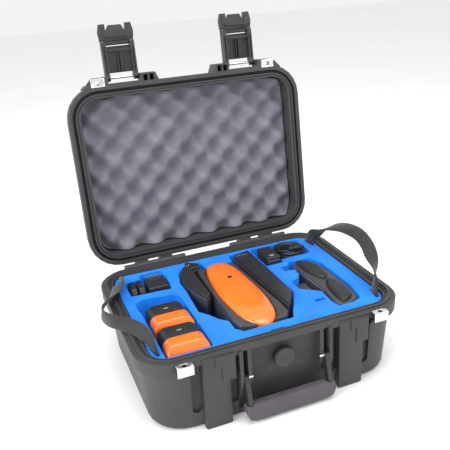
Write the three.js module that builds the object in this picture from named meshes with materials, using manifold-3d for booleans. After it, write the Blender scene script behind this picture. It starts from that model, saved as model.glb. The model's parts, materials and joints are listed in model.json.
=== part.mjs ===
// A hard carrying case for a folding camera drone, open and packed, in millimetres with +Z up.
// The origin is the centre of the base's underside. +X runs along the hinge, the handle faces -Y.
// The lid, latches and levers are drawn as they are when the case is shut, and nested groups swing them open.
import * as THREE from "three";
import { mergeVertices } from "three/addons/utils/BufferGeometryUtils.js";
import Module from "manifold-3d";

const wasm = await Module();
wasm.setup();

// ---------- driving dimensions ----------
const GAP = 0.3; // left between pieces that touch
const RUN = 0.4; // running clearance at hinges and pivots

const RIM_WIDTH = 432; // outside of the rim band along X
const RIM_DEPTH = 318; // outside of the rim band along Y
const RIM_CORNER = 55;
const RIM_BAND = 20; // height of the thick band at the mouth
const BASE_HEIGHT = 124; // underside to parting plane
const LID_HEIGHT = 62; // parting plane to lid top
const TOP_INSET = 9; // rim face to wall face just under the band
const FOOT_INSET = 15; // rim face to wall face at the bottom
const FLOOR = 5;
const LID_ROOF = 4;
const MOUTH_INSET_X = 22; // rim face to the inside of the case along X
const MOUTH_INSET_Y = 20.2; // the same along Y
const MOUTH_CORNER = 30;

const TONGUE_INSET = 8; // rim face to the tongue that presses the gasket
const TONGUE_WALL = 4;
const TONGUE_HEIGHT = 3;
const GROOVE_DEPTH = 8;
const GROOVE_CLEAR = 0.6; // groove wall to the tongue
const GASKET_HEIGHT = 4;
const RELIEF_INSET = 15; // rim face to the shallow groove that leaves two lips round the mouth
const RELIEF_WIDE = 2.6;
const RELIEF_DEEP = 2;

const OPEN_ANGLE = 97.9; // degrees that the lid stands open
const HINGE_BEHIND = 7.5; // hinge axis behind the rim face
const HINGE_BELOW = 4.3; // hinge axis below the parting plane
const KNUCKLE_RADIUS = 6;
const KNUCKLE_COUNT = 5; // in each of the two hinges
const KNUCKLE_WIDTH = 22.6;
const HINGE_START = 46; // inner end of each hinge from the middle
const HINGE_PIN_RADIUS = 2.5;
const WEB_TALL = 35.7; // web that carries a knuckle, along the wall

const LATCH_X = 110; // latch centre from the middle
const LATCH_WIDTH = 57;
const LATCH_AXIS_OUT = 10; // latch pivot in front of the rim face
const LATCH_AXIS_UP = 22; // latch pivot above the parting plane
const LATCH_LENGTH = 58; // latch pivot to lever pivot
const LATCH_RAIL = 7.6;
const LATCH_THICK = 13.5; // front to back over the side rails
const LATCH_PIN_RADIUS = 2;
const LEVER_LENGTH = 31; // lever pivot to thumb tip
const LEVER_PIN_RADIUS = 1.5;
const RAIL_END_RADIUS = 5.8;
const LUG_OUT = 13.5; // lid lugs in front of the rim face
const LUG_HEIGHT = 29;
const EYE_THICK = 8; // flange that holds the padlock hole
const LUG_SPAN = [50, 183]; // the lid's lug band from the middle

const COLUMN_WIDTH = 42;
const COLUMN_OUT = 2; // column face in front of the rim face
const SLOT_WIDTH = 16; // slot on each side of a column
const SLOT_BOTTOM = 27;
const SLOT_BELOW = 11; // parting plane to the top of the slots
const CATCH_BELOW = 45; // parting plane to the underside of the catch that the lever hooks
const CATCH_STEP_BELOW = 20; // parting plane to the step where the catch block narrows
const CATCH_OUT = 2.5; // catch in front of the column face
const RECESS_BACK = 14; // rim face to the back of the handle recess

const HANDLE_PIN_X = 66;
const HANDLE_PIN_BELOW = 53; // parting plane to the handle pivot
const HANDLE_PIN_OUT = 1; // handle pivot in front of the rim face
const HANDLE_PIN_RADIUS = 2;
const ARM_WIDTH = 7;
const GRIP_WIDTH = 146;
const GRIP_HEIGHT = 31;
const GRIP_DEPTH = 19;
const GRIP_OUT = 12; // grip centre in front of the rim face
const GRIP_DROP = 69.2; // handle pivot to the lowest point of the hanging grip

const LOCK_X = 157; // padlock hole from the middle
const LOCK_OUT = 4.5; // padlock hole in front of the rim face
const LOCK_RADIUS = 3.5;
const LOCK_WIDTH = 24;
const PLATE = 1.5; // steel thickness
const LOCK_LUG_OUT = 10;
const LOCK_LUG_HEIGHT = 12;

const VALVE_BELOW = 42; // parting plane to the valve's centre
const VALVE_CAP_RADIUS = 16;
const VALVE_STEM_RADIUS = 6.7;
const VALVE_PROUD = 9;

const FOAM_BELOW = 2.7; // parting plane to the top of the tray foam
const FOAM_CLEAR = 2; // foam to the case wall
const FOAM_CORNER = 28;
const TRAY_FOAM_THICK = 90;
const LID_FOAM_LOW = 14; // parting plane to the foam's peaks
const POCKET_CLEAR = 2; // between a stowed piece and its pocket's wall

const STRAP_WIDTH = 22;
const STRAP_THICK = 1.6;
const STRAP_SLOT_INSET = 8; // foam edge to the strap slots
const STRAP_SLOT_Y = [106, -110];
const STRAP_SLOT_DEPTH = 16;
const STRAP_SLOT_CLEAR = 2; // on each face of the strap
const STRAP_SLANT = 78; // degrees that each slot is turned from the X axis

const DRONE_COVER_PROUD = 14; // crown of the orange cover above the foam
const DRONE_COVER_DEEP = 14; // its lower edge below the foam
const DRONE_BODY_PROUD = 2;
const DRONE_ARM_PROUD = 6;
const DRONE_DEEP = 77.3; // foam top to the drone's belly
const DRONE_ARM_THICK = 40;
const PROPELLER_THICK = 4.6;
const DRONE_POCKET_DEEP = 80.3;

const BATTERY_X = -138;
const BATTERY_WIDTH = 64;
const BATTERY_LENGTH = 62;
const BATTERY_CAP_LENGTH = 30;
const BATTERY_PROUD = 10;
const BATTERY_DEEP = 71.3; // foam top to the battery's underside
const BATTERY_CORNER = 13;
const BATTERY_PITCH = 68; // from one battery to the next
const BATTERY_FRONT = -130; // front face of the front battery
const BATTERY_INSET = 1.5; // battery body inside the outline of its cap

const CONTROLLER_DEEP = 37.3;
const CONTROLLER_GRIP_THICK = 6;

const CHARGER_SPAN = [73, 100]; // along X
const CHARGER_DEPTH_SPAN = [58, 104]; // along Y
const CHARGER_DEEP = 59.3;
const CHARGER_PROUD = 13;
const CABLE_RADIUS = 2;
const COIL_CENTRE = [136, 100];
const COIL_RADIUS = 22.5; // middle of the turns
const COIL_WIDE = 3; // turns side by side
const COIL_HIGH = 4; // layers
const COIL_DEEP = 13.3; // foam top to the underside of the coil
const GLAND_LONG = 4; // strain relief on the charger
const PLUG_RADIUS = 4.5;
const PLUG_SPAN = [130, 160]; // along X
const PLUG_Y = 84;

const SPARES_DEEP = 31.3;
const SPARES_PROUD = 6;

// ---------- worked out ----------
const RIM_FACE = RIM_DEPTH / 2;
const MOUTH_WIDTH = RIM_WIDTH - 2 * MOUTH_INSET_X;
const MOUTH_DEPTH = RIM_DEPTH - 2 * MOUTH_INSET_Y;
const LID_LOW = BASE_HEIGHT + GAP;
const LID_TOP = BASE_HEIGHT + LID_HEIGHT;
const HINGE_Y = RIM_FACE + HINGE_BEHIND;
const HINGE_Z = BASE_HEIGHT - HINGE_BELOW;
const LATCH_Y = -RIM_FACE - LATCH_AXIS_OUT;
const LATCH_Z = BASE_HEIGHT + LATCH_AXIS_UP;
const LEVER_Z = LATCH_Z - LATCH_LENGTH;
const COLUMN_FACE = -RIM_FACE - COLUMN_OUT;
const CATCH_FACE = COLUMN_FACE - CATCH_OUT;
const CATCH_BOTTOM = BASE_HEIGHT - CATCH_BELOW;
const SLOT_TOP = BASE_HEIGHT - SLOT_BELOW;
const RECESS_FLOOR = -RIM_FACE + RECESS_BACK;
const COLUMN_HALF = COLUMN_WIDTH / 2;
const SLOT_EDGE = COLUMN_HALF + SLOT_WIDTH;
const HANDLE_PIN_Y = -RIM_FACE - HANDLE_PIN_OUT;
const HANDLE_PIN_Z = BASE_HEIGHT - HANDLE_PIN_BELOW;
const GRIP_LOW = HANDLE_PIN_Z - GRIP_DROP;
const VALVE_Z = BASE_HEIGHT - VALVE_BELOW;
const LOCK_Y = -RIM_FACE - LOCK_OUT;
const FOAM_TOP = BASE_HEIGHT - FOAM_BELOW;
const TRAY_LOW = FOAM_TOP - TRAY_FOAM_THICK;
const PAD_TOP = TRAY_LOW - 2 * GAP;
const DRONE_LOW = FOAM_TOP - DRONE_DEEP;
const DRONE_POCKET_LOW = FOAM_TOP - DRONE_POCKET_DEEP;
const BATTERY_LOW = FOAM_TOP - BATTERY_DEEP;
const CONTROLLER_LOW = FOAM_TOP - CONTROLLER_DEEP;
const CHARGER_LOW = FOAM_TOP - CHARGER_DEEP;
const COIL_LOW = FOAM_TOP - COIL_DEEP;
const SPARES_LOW = FOAM_TOP - SPARES_DEEP;
const FOAM_WIDTH = MOUTH_WIDTH - 2 * FOAM_CLEAR;
const FOAM_DEPTH = MOUTH_DEPTH - 2 * FOAM_CLEAR;
const STRAP_SLOT_X = FOAM_WIDTH / 2 - STRAP_SLOT_INSET;
const LID_FOAM_FACE = BASE_HEIGHT + LID_FOAM_LOW;
const SIDES = [["left", -1], ["right", 1]];

// ---------- solids ----------
function solidOf(geometry) {
  const plain = geometry.index ? geometry.toNonIndexed() : geometry;
  const bare = new THREE.BufferGeometry().setAttribute("position", plain.getAttribute("position"));
  const merged = mergeVertices(bare, 1e-4);
  const triVerts = new Uint32Array(merged.index.array);
  const vertProperties = merged.attributes.position.array;
  return new wasm.Manifold(new wasm.Mesh({ numProp: 3, vertProperties, triVerts }));
}

function geometryOf(solid) {
  const mesh = solid.getMesh();
  const geometry = new THREE.BufferGeometry();
  geometry.setAttribute("position", new THREE.BufferAttribute(new Float32Array(mesh.vertProperties), 3));
  geometry.setIndex(new THREE.BufferAttribute(new Uint32Array(mesh.triVerts), 1));
  return geometry;
}

const join = (solids) => solids.reduce((all, one) => all.add(one));
const cutAll = (solid, cutters) => cutters.reduce((left, cutter) => left.subtract(cutter), solid);

// A box between two corners.
function block([x0, x1], [y0, y1], [z0, z1]) {
  const box = new THREE.BoxGeometry(x1 - x0, y1 - y0, z1 - z0);
  box.translate((x0 + x1) / 2, (y0 + y1) / 2, (z0 + z1) / 2);
  return solidOf(box);
}

// The mirror-image pair of spans at +x and -x, for sign +1 and -1.
const span = (sign, near, far) => (sign > 0 ? [near, far] : [-far, -near]);

// A cylinder along X, Y or Z between two values.
function rod(axis, radius, [from, to], [u, v], sides = 20) {
  const cylinder = new THREE.CylinderGeometry(radius, radius, to - from, sides);
  const middle = (from + to) / 2;
  if (axis === "x") cylinder.rotateZ(-Math.PI / 2).translate(middle, u, v);
  if (axis === "y") cylinder.translate(u, middle, v);
  if (axis === "z") cylinder.rotateX(Math.PI / 2).translate(u, v, middle);
  return solidOf(cylinder);
}

// A rounded-rectangle ring of points, counter-clockwise seen from above.
function ring(width, depth, corner, z, steps = 6) {
  const points = [];
  const quarters = [[1, 1], [-1, 1], [-1, -1], [1, -1]];
  quarters.forEach(([sx, sy], quarter) => {
    for (let i = 0; i <= steps; i += 1) {
      const angle = ((quarter + i / steps) * Math.PI) / 2;
      const x = sx * (width / 2 - corner) + corner * Math.cos(angle);
      const y = sy * (depth / 2 - corner) + corner * Math.sin(angle);
      points.push([x, y, z]);
    }
  });
  return points;
}

// A closed convex loft through rings with the same number of points.
function loft(rings) {
  const count = rings[0].length;
  const positions = [];
  const push = (...corners) => corners.forEach((corner) => positions.push(...corner));
  const first = rings[0];
  const last = rings[rings.length - 1];
  for (let i = 1; i < count - 1; i += 1) {
    push(first[0], first[i + 1], first[i]);
    push(last[0], last[i], last[i + 1]);
  }
  for (let level = 1; level < rings.length; level += 1) {
    for (let i = 0; i < count; i += 1) {
      const next = (i + 1) % count;
      const [low, high] = [rings[level - 1], rings[level]];
      push(low[i], low[next], high[next]);
      push(low[i], high[next], high[i]);
    }
  }
  const geometry = new THREE.BufferGeometry();
  geometry.setAttribute("position", new THREE.BufferAttribute(new Float32Array(positions), 3));
  return solidOf(geometry);
}

// A rounded rectangular slab, or a shell section when it is cut from another.
const slab = (width, depth, corner, z0, z1) =>
  loft([ring(width, depth, corner, z0), ring(width, depth, corner, z1)]);

// A ring that follows the rim between two distances in from its face.
const rimRing = (near, far, z0, z1) =>
  slab(RIM_WIDTH - 2 * near, RIM_DEPTH - 2 * near, RIM_CORNER - near, z0, z1).subtract(
    slab(RIM_WIDTH - 2 * far, RIM_DEPTH - 2 * far, RIM_CORNER - far, z0 - 1, z1 + 1));

// A closed outline in XY, extruded between two heights. Entries are [x, y].
function prism(outline, z0, z1) {
  const shape = new THREE.Shape(outline.map(([x, y]) => new THREE.Vector2(x, y)));
  const geometry = new THREE.ExtrudeGeometry(shape, { depth: z1 - z0, bevelEnabled: false });
  return solidOf(geometry.translate(0, 0, z0));
}

// A smooth closed outline through a few points.
function smoothOutline(points, steps) {
  const curve = new THREE.CatmullRomCurve3(points.map(([x, y]) => new THREE.Vector3(x, y, 0)), true);
  return curve.getPoints(steps).slice(0, -1).map((point) => [point.x, point.y]);
}

// A closed outline in YZ, extruded along X. Entries are [y, z].
function sidePrism(outline, [x0, x1]) {
  const shape = new THREE.Shape(outline.map(([y, z]) => new THREE.Vector2(y, z)));
  const geometry = new THREE.ExtrudeGeometry(shape, { depth: x1 - x0, bevelEnabled: false });
  geometry.applyMatrix4(new THREE.Matrix4().set(0, 0, 1, x0, 1, 0, 0, 0, 0, 1, 0, 0, 0, 0, 0, 1));
  return solidOf(geometry);
}

// ---------- materials ----------
const finish = (color, roughness, metalness = 0) => ({ color, roughness, metalness });
const FINISHES = {
  shell: finish(0x37373a, 0.55),
  latch: finish(0x2f2f31, 0.5),
  rubber: finish(0x4c494e, 0.8),
  seal: finish(0x1b1b1c, 0.7),
  steel: finish(0xd8d8d6, 0.25, 1),
  greyFoam: finish(0x6f6d75, 0.95),
  blueFoam: finish(0x0a7be8, 0.9),
  blackFoam: finish(0x242426, 0.95),
  webbing: finish(0x1c1c1d, 0.85),
  orange: finish(0xff7a1a, 0.3),
  drone: finish(0x3a3b3f, 0.5),
  darkPlastic: finish(0x232428, 0.45),
  gripRubber: finish(0x1f2023, 0.75),
  cable: finish(0x1d1d1f, 0.6),
};

const made = new THREE.Group();
function place(parent, name, solid, finishName) {
  const mesh = new THREE.Mesh(geometryOf(solid), new THREE.MeshStandardMaterial(FINISHES[finishName]));
  mesh.name = name;
  parent.add(mesh);
}

// A group that turns about a line along X at (y, z); what it holds is drawn unturned.
function turned(parent, y, z, degrees) {
  const outer = new THREE.Group();
  outer.position.set(0, y, z);
  outer.rotation.x = THREE.MathUtils.degToRad(degrees);
  const inner = new THREE.Group();
  inner.position.set(0, -y, -z);
  outer.add(inner);
  parent.add(outer);
  return inner;
}

// ---------- hinge ----------
const knuckleSpan = (sign, index) => {
  const near = HINGE_START + index * (KNUCKLE_WIDTH + RUN);
  return span(sign, near, near + KNUCKLE_WIDTH);
};
const HINGE_END = HINGE_START + KNUCKLE_COUNT * (KNUCKLE_WIDTH + RUN);

// One knuckle and the web that carries it down to the base or up to the lid.
function knuckle(sign, index) {
  const where = knuckleSpan(sign, index);
  const onBase = index % 2 === 0;
  const barrel = rod("x", KNUCKLE_RADIUS, where, [HINGE_Y, HINGE_Z], 24);
  const back = HINGE_Y + KNUCKLE_RADIUS;
  const front = HINGE_Y - KNUCKLE_RADIUS;
  const inWall = RIM_FACE - TOP_INSET - 2;
  const web = onBase
    ? sidePrism([[inWall, HINGE_Z - WEB_TALL], [inWall, HINGE_Z - 2], [front, HINGE_Z], [back, HINGE_Z],
      [back, HINGE_Z - 2 * KNUCKLE_RADIUS]], where)
    : join([
        block(where, [front, back], [HINGE_Z, LID_LOW + 1]),
        sidePrism([[inWall, LID_LOW], [back, LID_LOW], [back, LID_LOW + WEB_TALL / 2],
          [inWall, LID_LOW + WEB_TALL - KNUCKLE_RADIUS]], where),
      ]);
  return barrel.add(web);
}

const hingeBore = (sign) =>
  rod("x", HINGE_PIN_RADIUS + GAP, span(sign, HINGE_START + 2, HINGE_END + 5), [HINGE_Y, HINGE_Z], 16);

// ---------- base ----------
const bodyRing = (z, inset) =>
  ring(RIM_WIDTH - 2 * inset, RIM_DEPTH - 2 * inset * 0.62, RIM_CORNER - inset * 0.2, z);

function latchSeat(centre) {
  const top = BASE_HEIGHT - 3;
  const column = loft([
    ring(COLUMN_WIDTH - 3, 14, 2, 0, 2),
    ring(COLUMN_WIDTH, 16, 2, 2.5, 2),
    ring(COLUMN_WIDTH, 16, 2, top, 2),
  ]).translate([centre, COLUMN_FACE + 8, 0]);
  const step = BASE_HEIGHT - CATCH_STEP_BELOW;
  const upper = block([centre - 2, centre + 28], [CATCH_FACE, RECESS_FLOOR - 1], [step, top - 1]);
  const lower = block([centre + 8, centre + 28], [CATCH_FACE, RECESS_FLOOR - 1], [CATCH_BOTTOM, step + 1]);
  return join([column, upper, lower]);
}

function baseShell() {
  const wallTop = BASE_HEIGHT - RIM_BAND;
  const body = loft([
    bodyRing(0, FOOT_INSET + 8),
    bodyRing(2.5, FOOT_INSET + 3.5),
    bodyRing(8, FOOT_INSET),
    bodyRing(wallTop - 5, TOP_INSET),
    bodyRing(wallTop, 0.5),
    bodyRing(BASE_HEIGHT - 1, 0),
    bodyRing(BASE_HEIGHT, 1),
  ]);
  const inside = slab(MOUTH_WIDTH, MOUTH_DEPTH, MOUTH_CORNER, FLOOR, BASE_HEIGHT + 10);
  const frontY = [-RIM_FACE - 20, RECESS_FLOOR];
  const cuts = [];
  const adds = [];
  for (const centre of [-LATCH_X, LATCH_X]) {
    for (const side of [-1, 1]) {
      const where = side > 0
        ? [centre + COLUMN_HALF, centre + SLOT_EDGE]
        : [centre - SLOT_EDGE, centre - COLUMN_HALF];
      const half = SLOT_WIDTH / 2;
      const middle = (where[0] + where[1]) / 2;
      cuts.push(block(where, frontY, [SLOT_BOTTOM + half, SLOT_TOP]));
      cuts.push(rod("y", half, frontY, [middle, SLOT_BOTTOM + half], 16));
    }
    adds.push(latchSeat(centre));
  }
  const bay = LATCH_X - SLOT_EDGE + 2;
  cuts.push(block([-bay, bay], frontY, [12, SLOT_TOP + 4]));
  for (const [, sign] of SIDES) {
    const beside = ARM_WIDTH / 2 + 2 * GAP;
    const ribs = [
      [HANDLE_PIN_X + beside, bay + 0.5, HANDLE_PIN_Z - 33, -3],
      [HANDLE_PIN_X - 10, HANDLE_PIN_X - beside, HANDLE_PIN_Z - 21, 0],
    ];
    for (const [near, far, low, face] of ribs) {
      const rib = [[RECESS_FLOOR + 1, low - 6], [RECESS_FLOOR + 1, SLOT_TOP + 5],
        [-RIM_FACE + face, SLOT_TOP + 5],
        [-RIM_FACE + face - 2, HANDLE_PIN_Z], [-RIM_FACE + face - 2, HANDLE_PIN_Z - 8], [-RIM_FACE + 4, low]];
      adds.push(sidePrism(rib, span(sign, near, far)));
    }
    const lug = span(sign, LOCK_X - LOCK_WIDTH / 2, LOCK_X + LOCK_WIDTH / 2);
    const lugLow = BASE_HEIGHT - PLATE - LOCK_LUG_HEIGHT;
    const inset = PLATE + GAP;
    adds.push(block([lug[0] + 2, lug[1] - 2], [-RIM_FACE - LOCK_LUG_OUT + inset, RECESS_FLOOR],
      [lugLow, BASE_HEIGHT - inset]));
    cuts.push(block([lug[0] - GAP, lug[1] + GAP], [-RIM_FACE - 20, -RIM_FACE + 3],
      [BASE_HEIGHT - inset, BASE_HEIGHT + 9]));
    for (let index = 0; index < KNUCKLE_COUNT; index += 2) adds.push(knuckle(sign, index));
  }
  const outer = join([cutAll(body, cuts), ...adds]);
  const tongue = rimRing(TONGUE_INSET, TONGUE_INSET + TONGUE_WALL, BASE_HEIGHT - 2,
    BASE_HEIGHT + TONGUE_HEIGHT);
  const relief = rimRing(RELIEF_INSET, RELIEF_INSET + RELIEF_WIDE, BASE_HEIGHT - RELIEF_DEEP,
    BASE_HEIGHT + 1);
  const lockHoles = SIDES.map(([, sign]) =>
    rod("z", LOCK_RADIUS + 0.6, [BASE_HEIGHT - 2 * LOCK_LUG_HEIGHT, BASE_HEIGHT + 9],
      [sign * LOCK_X, LOCK_Y], 16));
  const pinBores = SIDES.map(([, sign]) =>
    rod("x", HANDLE_PIN_RADIUS + GAP, span(sign, HANDLE_PIN_X - 12, bay + 1.5), [HANDLE_PIN_Y,
      HANDLE_PIN_Z], 16));
  const valveBore = rod("y", VALVE_STEM_RADIUS + GAP, [-RIM_FACE, -MOUTH_DEPTH / 2 + 5], [0, VALVE_Z], 20);
  return cutAll(outer.add(tongue), [inside, relief, ...lockHoles, ...pinBores, valveBore, ...SIDES.map(([,
    s]) => hingeBore(s))]);
}
place(made, "base_shell", baseShell(), "shell");

for (const [side, sign] of SIDES) {
  const pinSpan = span(sign, HINGE_START + 2.5, HINGE_END - 2);
  place(made, `hinge_pin_${side}`, rod("x", HINGE_PIN_RADIUS, pinSpan, [HINGE_Y, HINGE_Z], 16), "steel");
  const handlePin = span(sign, HANDLE_PIN_X - 11, LATCH_X - SLOT_EDGE + 2.5);
  place(made, `handle_pin_${side}`,
    rod("x", HANDLE_PIN_RADIUS, handlePin, [HANDLE_PIN_Y, HANDLE_PIN_Z], 16), "steel");
}

// A steel strip folded over the padlock lug: top leg, front and bottom leg, with the padlock hole.
function lockPlate(sign, low, high) {
  const where = span(sign, LOCK_X - LOCK_WIDTH / 2, LOCK_X + LOCK_WIDTH / 2);
  const front = -RIM_FACE - LOCK_LUG_OUT;
  const wrap = block(where, [front, -RIM_FACE + 2], [low, high]);
  const inside = block([where[0] - 1, where[1] + 1], [front + PLATE, -RIM_FACE + 9],
    [low + PLATE, high - PLATE]);
  return wrap.subtract(inside).subtract(rod("z", LOCK_RADIUS, [low - 5, high + 5],
    [sign * LOCK_X, LOCK_Y], 20));
}

for (const [side, sign] of SIDES) {
  const low = BASE_HEIGHT - PLATE - LOCK_LUG_HEIGHT - PLATE;
  const shortBottom = block(span(sign, LOCK_X - 20, LOCK_X + 20), [-RIM_FACE - 0.5, 0],
    [low - 1, low + PLATE + 1]);
  place(made, `lock_plate_base_${side}`, lockPlate(sign, low, BASE_HEIGHT).subtract(shortBottom), "steel");
}

// ---------- pressure valve ----------
const valveFace = RECESS_FLOOR - GAP;
place(made, "valve_stem", rod("y", VALVE_STEM_RADIUS, [valveFace - 2.4, RECESS_FLOOR + 5],
  [0, VALVE_Z]), "latch");
const valveSeal = rod("y", 10, [valveFace - 2, valveFace], [0, VALVE_Z])
  .subtract(rod("y", VALVE_STEM_RADIUS + GAP, [valveFace - 3, valveFace + 1], [0, VALVE_Z]));
place(made, "valve_o_ring", valveSeal, "seal");
const capBack = valveFace - 2 - GAP;
const valveCap = join([
  rod("y", VALVE_CAP_RADIUS, [valveFace - VALVE_PROUD + 1.5, capBack], [0, VALVE_Z], 32),
  rod("y", VALVE_CAP_RADIUS - 2, [valveFace - VALVE_PROUD, capBack], [0, VALVE_Z], 32),
]).subtract(rod("y", VALVE_STEM_RADIUS + GAP, [capBack - 1, capBack + 1], [0, VALVE_Z]));
place(made, "valve_cap", valveCap, "shell");

// ---------- lid, drawn shut ----------
const lid = turned(made, HINGE_Y, HINGE_Z, -OPEN_ANGLE);

// The lugs on each side of a latch, hollow from below, with the pivot bores.
function lidLugs(sign) {
  const face = -RIM_FACE - LUG_OUT;
  const gate = LATCH_WIDTH / 2 + RUN;
  const high = LID_LOW + LUG_HEIGHT;
  const pieces = [];
  const spans = [[LUG_SPAN[0], LATCH_X - gate, 10, 0], [LATCH_X + gate, LUG_SPAN[1], 0, 16]];
  for (const [near, far, slopeNear, slopeFar] of spans) {
    const [x0, x1] = [sign * near, sign * far];
    const back = -RIM_FACE + 14;
    const outline = [[x0, back], [x0, -RIM_FACE + 1], [x0 + sign * slopeNear * 0.6, face],
      [x1 - sign * slopeFar, face],
      [x1, -RIM_FACE + 3], [x1, back]];
    let lug = prism(sign > 0 ? outline : outline.reverse(), LID_LOW, high);
    const hollows = near === LUG_SPAN[0] ? [[near + 9, near + 17], [near + 20, far - 3.2]] : [];
    for (const [from, to] of hollows)
      lug = lug.subtract(block(span(sign, from, to), [face + 2.6, -RIM_FACE - 0.5], [LID_LOW - 1, high - 8]));
    pieces.push(lug);
  }
  const eyeTop = block(span(sign, LOCK_X - LOCK_WIDTH / 2 - 1, LUG_SPAN[1] + 9), [face - 1, -RIM_FACE - 2],
    [LID_LOW + EYE_THICK, high + 1]);
  const shelf = block(span(sign, LATCH_X - gate - 1, LATCH_X + gate + 1), [-RIM_FACE - 2, -RIM_FACE + 9],
    [LID_LOW, LID_LOW + 8]);
  return join([...pieces, shelf]).subtract(eyeTop);
}

function lidShell() {
  const bandTop = LID_LOW + RIM_BAND;
  const body = loft([
    bodyRing(LID_LOW, 1),
    bodyRing(LID_LOW + 1, 0),
    bodyRing(bandTop, 0.5),
    bodyRing(bandTop + 5, TOP_INSET - 3),
    bodyRing(LID_TOP - 8, TOP_INSET),
    bodyRing(LID_TOP - 2.5, TOP_INSET + 3.5),
    bodyRing(LID_TOP, TOP_INSET + 8),
  ]);
  const inside = slab(MOUTH_WIDTH, MOUTH_DEPTH, MOUTH_CORNER, 0, LID_TOP - LID_ROOF);
  const groove = rimRing(TONGUE_INSET - GROOVE_CLEAR, TONGUE_INSET + TONGUE_WALL + GROOVE_CLEAR, LID_LOW - 1,
    LID_LOW + GROOVE_DEPTH);
  const relief = rimRing(RELIEF_INSET, RELIEF_INSET + RELIEF_WIDE, LID_LOW - 1, LID_LOW + RELIEF_DEEP);
  const adds = [];
  const cuts = [];
  for (const [, sign] of SIDES) {
    adds.push(lidLugs(sign));
    for (let index = 1; index < KNUCKLE_COUNT; index += 2) adds.push(knuckle(sign, index));
    const pinSpan = span(sign, LATCH_X - LATCH_WIDTH / 2 - 8, LATCH_X + LATCH_WIDTH / 2 + 8);
    cuts.push(rod("x", LATCH_PIN_RADIUS + GAP, pinSpan, [LATCH_Y, LATCH_Z], 16));
    cuts.push(rod("z", LOCK_RADIUS + 0.6, [LID_LOW - 1, LID_LOW + EYE_THICK + 0.5],
      [sign * LOCK_X, LOCK_Y], 16));
    cuts.push(hingeBore(sign));
    const plateRoom = span(sign, LOCK_X - LOCK_WIDTH / 2 - GAP, LOCK_X + LOCK_WIDTH / 2 + GAP);
    cuts.push(block(plateRoom, [-RIM_FACE - LUG_OUT - 1, -RIM_FACE + 3],
      [LID_LOW - 1, LID_LOW + PLATE + GAP]));
  }
  const ridges = [-1, 1].flatMap((sign) => [
    block(span(sign, 60, 150), [-90, -84], [LID_TOP - 1, LID_TOP + 2.5]),
    block(span(sign, 60, 150), [84, 90], [LID_TOP - 1, LID_TOP + 2.5]),
  ]);
  return cutAll(join([body, ...adds, ...ridges]), [inside, groove, relief, ...cuts]);
}
place(lid, "lid_shell", lidShell(), "shell");

const gasketTop = LID_LOW + GROOVE_DEPTH - GAP;
const gasket = rimRing(TONGUE_INSET, TONGUE_INSET + TONGUE_WALL, gasketTop - GASKET_HEIGHT, gasketTop);
place(lid, "lid_gasket", gasket, "seal");

const lidFoam = slab(FOAM_WIDTH, FOAM_DEPTH, FOAM_CORNER, LID_FOAM_FACE, LID_TOP - LID_ROOF - GAP);
place(lid, "lid_foam", lidFoam, "greyFoam");

for (const [side, sign] of SIDES) {
  const where = span(sign, LOCK_X - LOCK_WIDTH / 2, LOCK_X + LOCK_WIDTH / 2);
  const strip = block(where, [-RIM_FACE - LUG_OUT + 1, -RIM_FACE + 2], [LID_LOW, LID_LOW + PLATE]);
  const hole = rod("z", LOCK_RADIUS, [0, LID_TOP], [sign * LOCK_X, LOCK_Y], 20);
  place(lid, `lock_plate_lid_${side}`, strip.subtract(hole), "steel");
}

// ---------- latches, drawn hanging shut ----------
const railInner = LATCH_WIDTH / 2 - LATCH_RAIL;
const RAIL_FRONT = LATCH_Y - (LATCH_THICK - 4.5);
const RAIL_BACK = LATCH_Y + 4.5;
const PLATE_BACK = RAIL_FRONT + 3;

function latchBody(centre) {
  const parts = [];
  const leverY = RAIL_FRONT + RAIL_END_RADIUS;
  for (const sign of [-1, 1]) {
    const where = sign > 0
      ? [centre + railInner, centre + LATCH_WIDTH / 2]
      : [centre - LATCH_WIDTH / 2, centre - railInner];
    parts.push(block(where, [RAIL_FRONT, RAIL_BACK], [LEVER_Z, LATCH_Z]));
    parts.push(rod("x", RAIL_END_RADIUS, where, [LATCH_Y, LATCH_Z], 20));
    parts.push(rod("x", RAIL_END_RADIUS, where, [leverY, LEVER_Z], 20));
  }
  const wide = [centre - LATCH_WIDTH / 2, centre + LATCH_WIDTH / 2];
  parts.push(block(wide, [RAIL_FRONT, PLATE_BACK], [LEVER_Z + 5.6, LATCH_Z - 8]));
  parts.push(block(wide, [RAIL_FRONT, RAIL_BACK - 3], [LEVER_Z + 10, LEVER_Z + 14]));
  for (const sign of [-1, 1]) {
    const from = sign > 0 ? centre + 1.4 : centre - 3.4;
    parts.push(block([from, from + 2], [RAIL_FRONT, PLATE_BACK + 6], [LEVER_Z + 10, LATCH_Z - 9]));
  }
  const solid = join(parts);
  const channels = [-1, 1].map((sign) => {
    const middle = centre + sign * (railInner + LATCH_RAIL / 2);
    return block([middle - 1.2, middle + 1.2], [RAIL_BACK - 3, RAIL_BACK + 1], [LEVER_Z + 9, LATCH_Z - 9]);
  });
  const throughX = [centre - LATCH_WIDTH, centre + LATCH_WIDTH];
  return cutAll(solid, [
    ...channels,
    rod("x", LATCH_PIN_RADIUS + GAP, throughX, [LATCH_Y, LATCH_Z], 16),
    rod("x", LEVER_PIN_RADIUS + GAP, throughX, [leverY, LEVER_Z], 16),
  ]);
}

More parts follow.
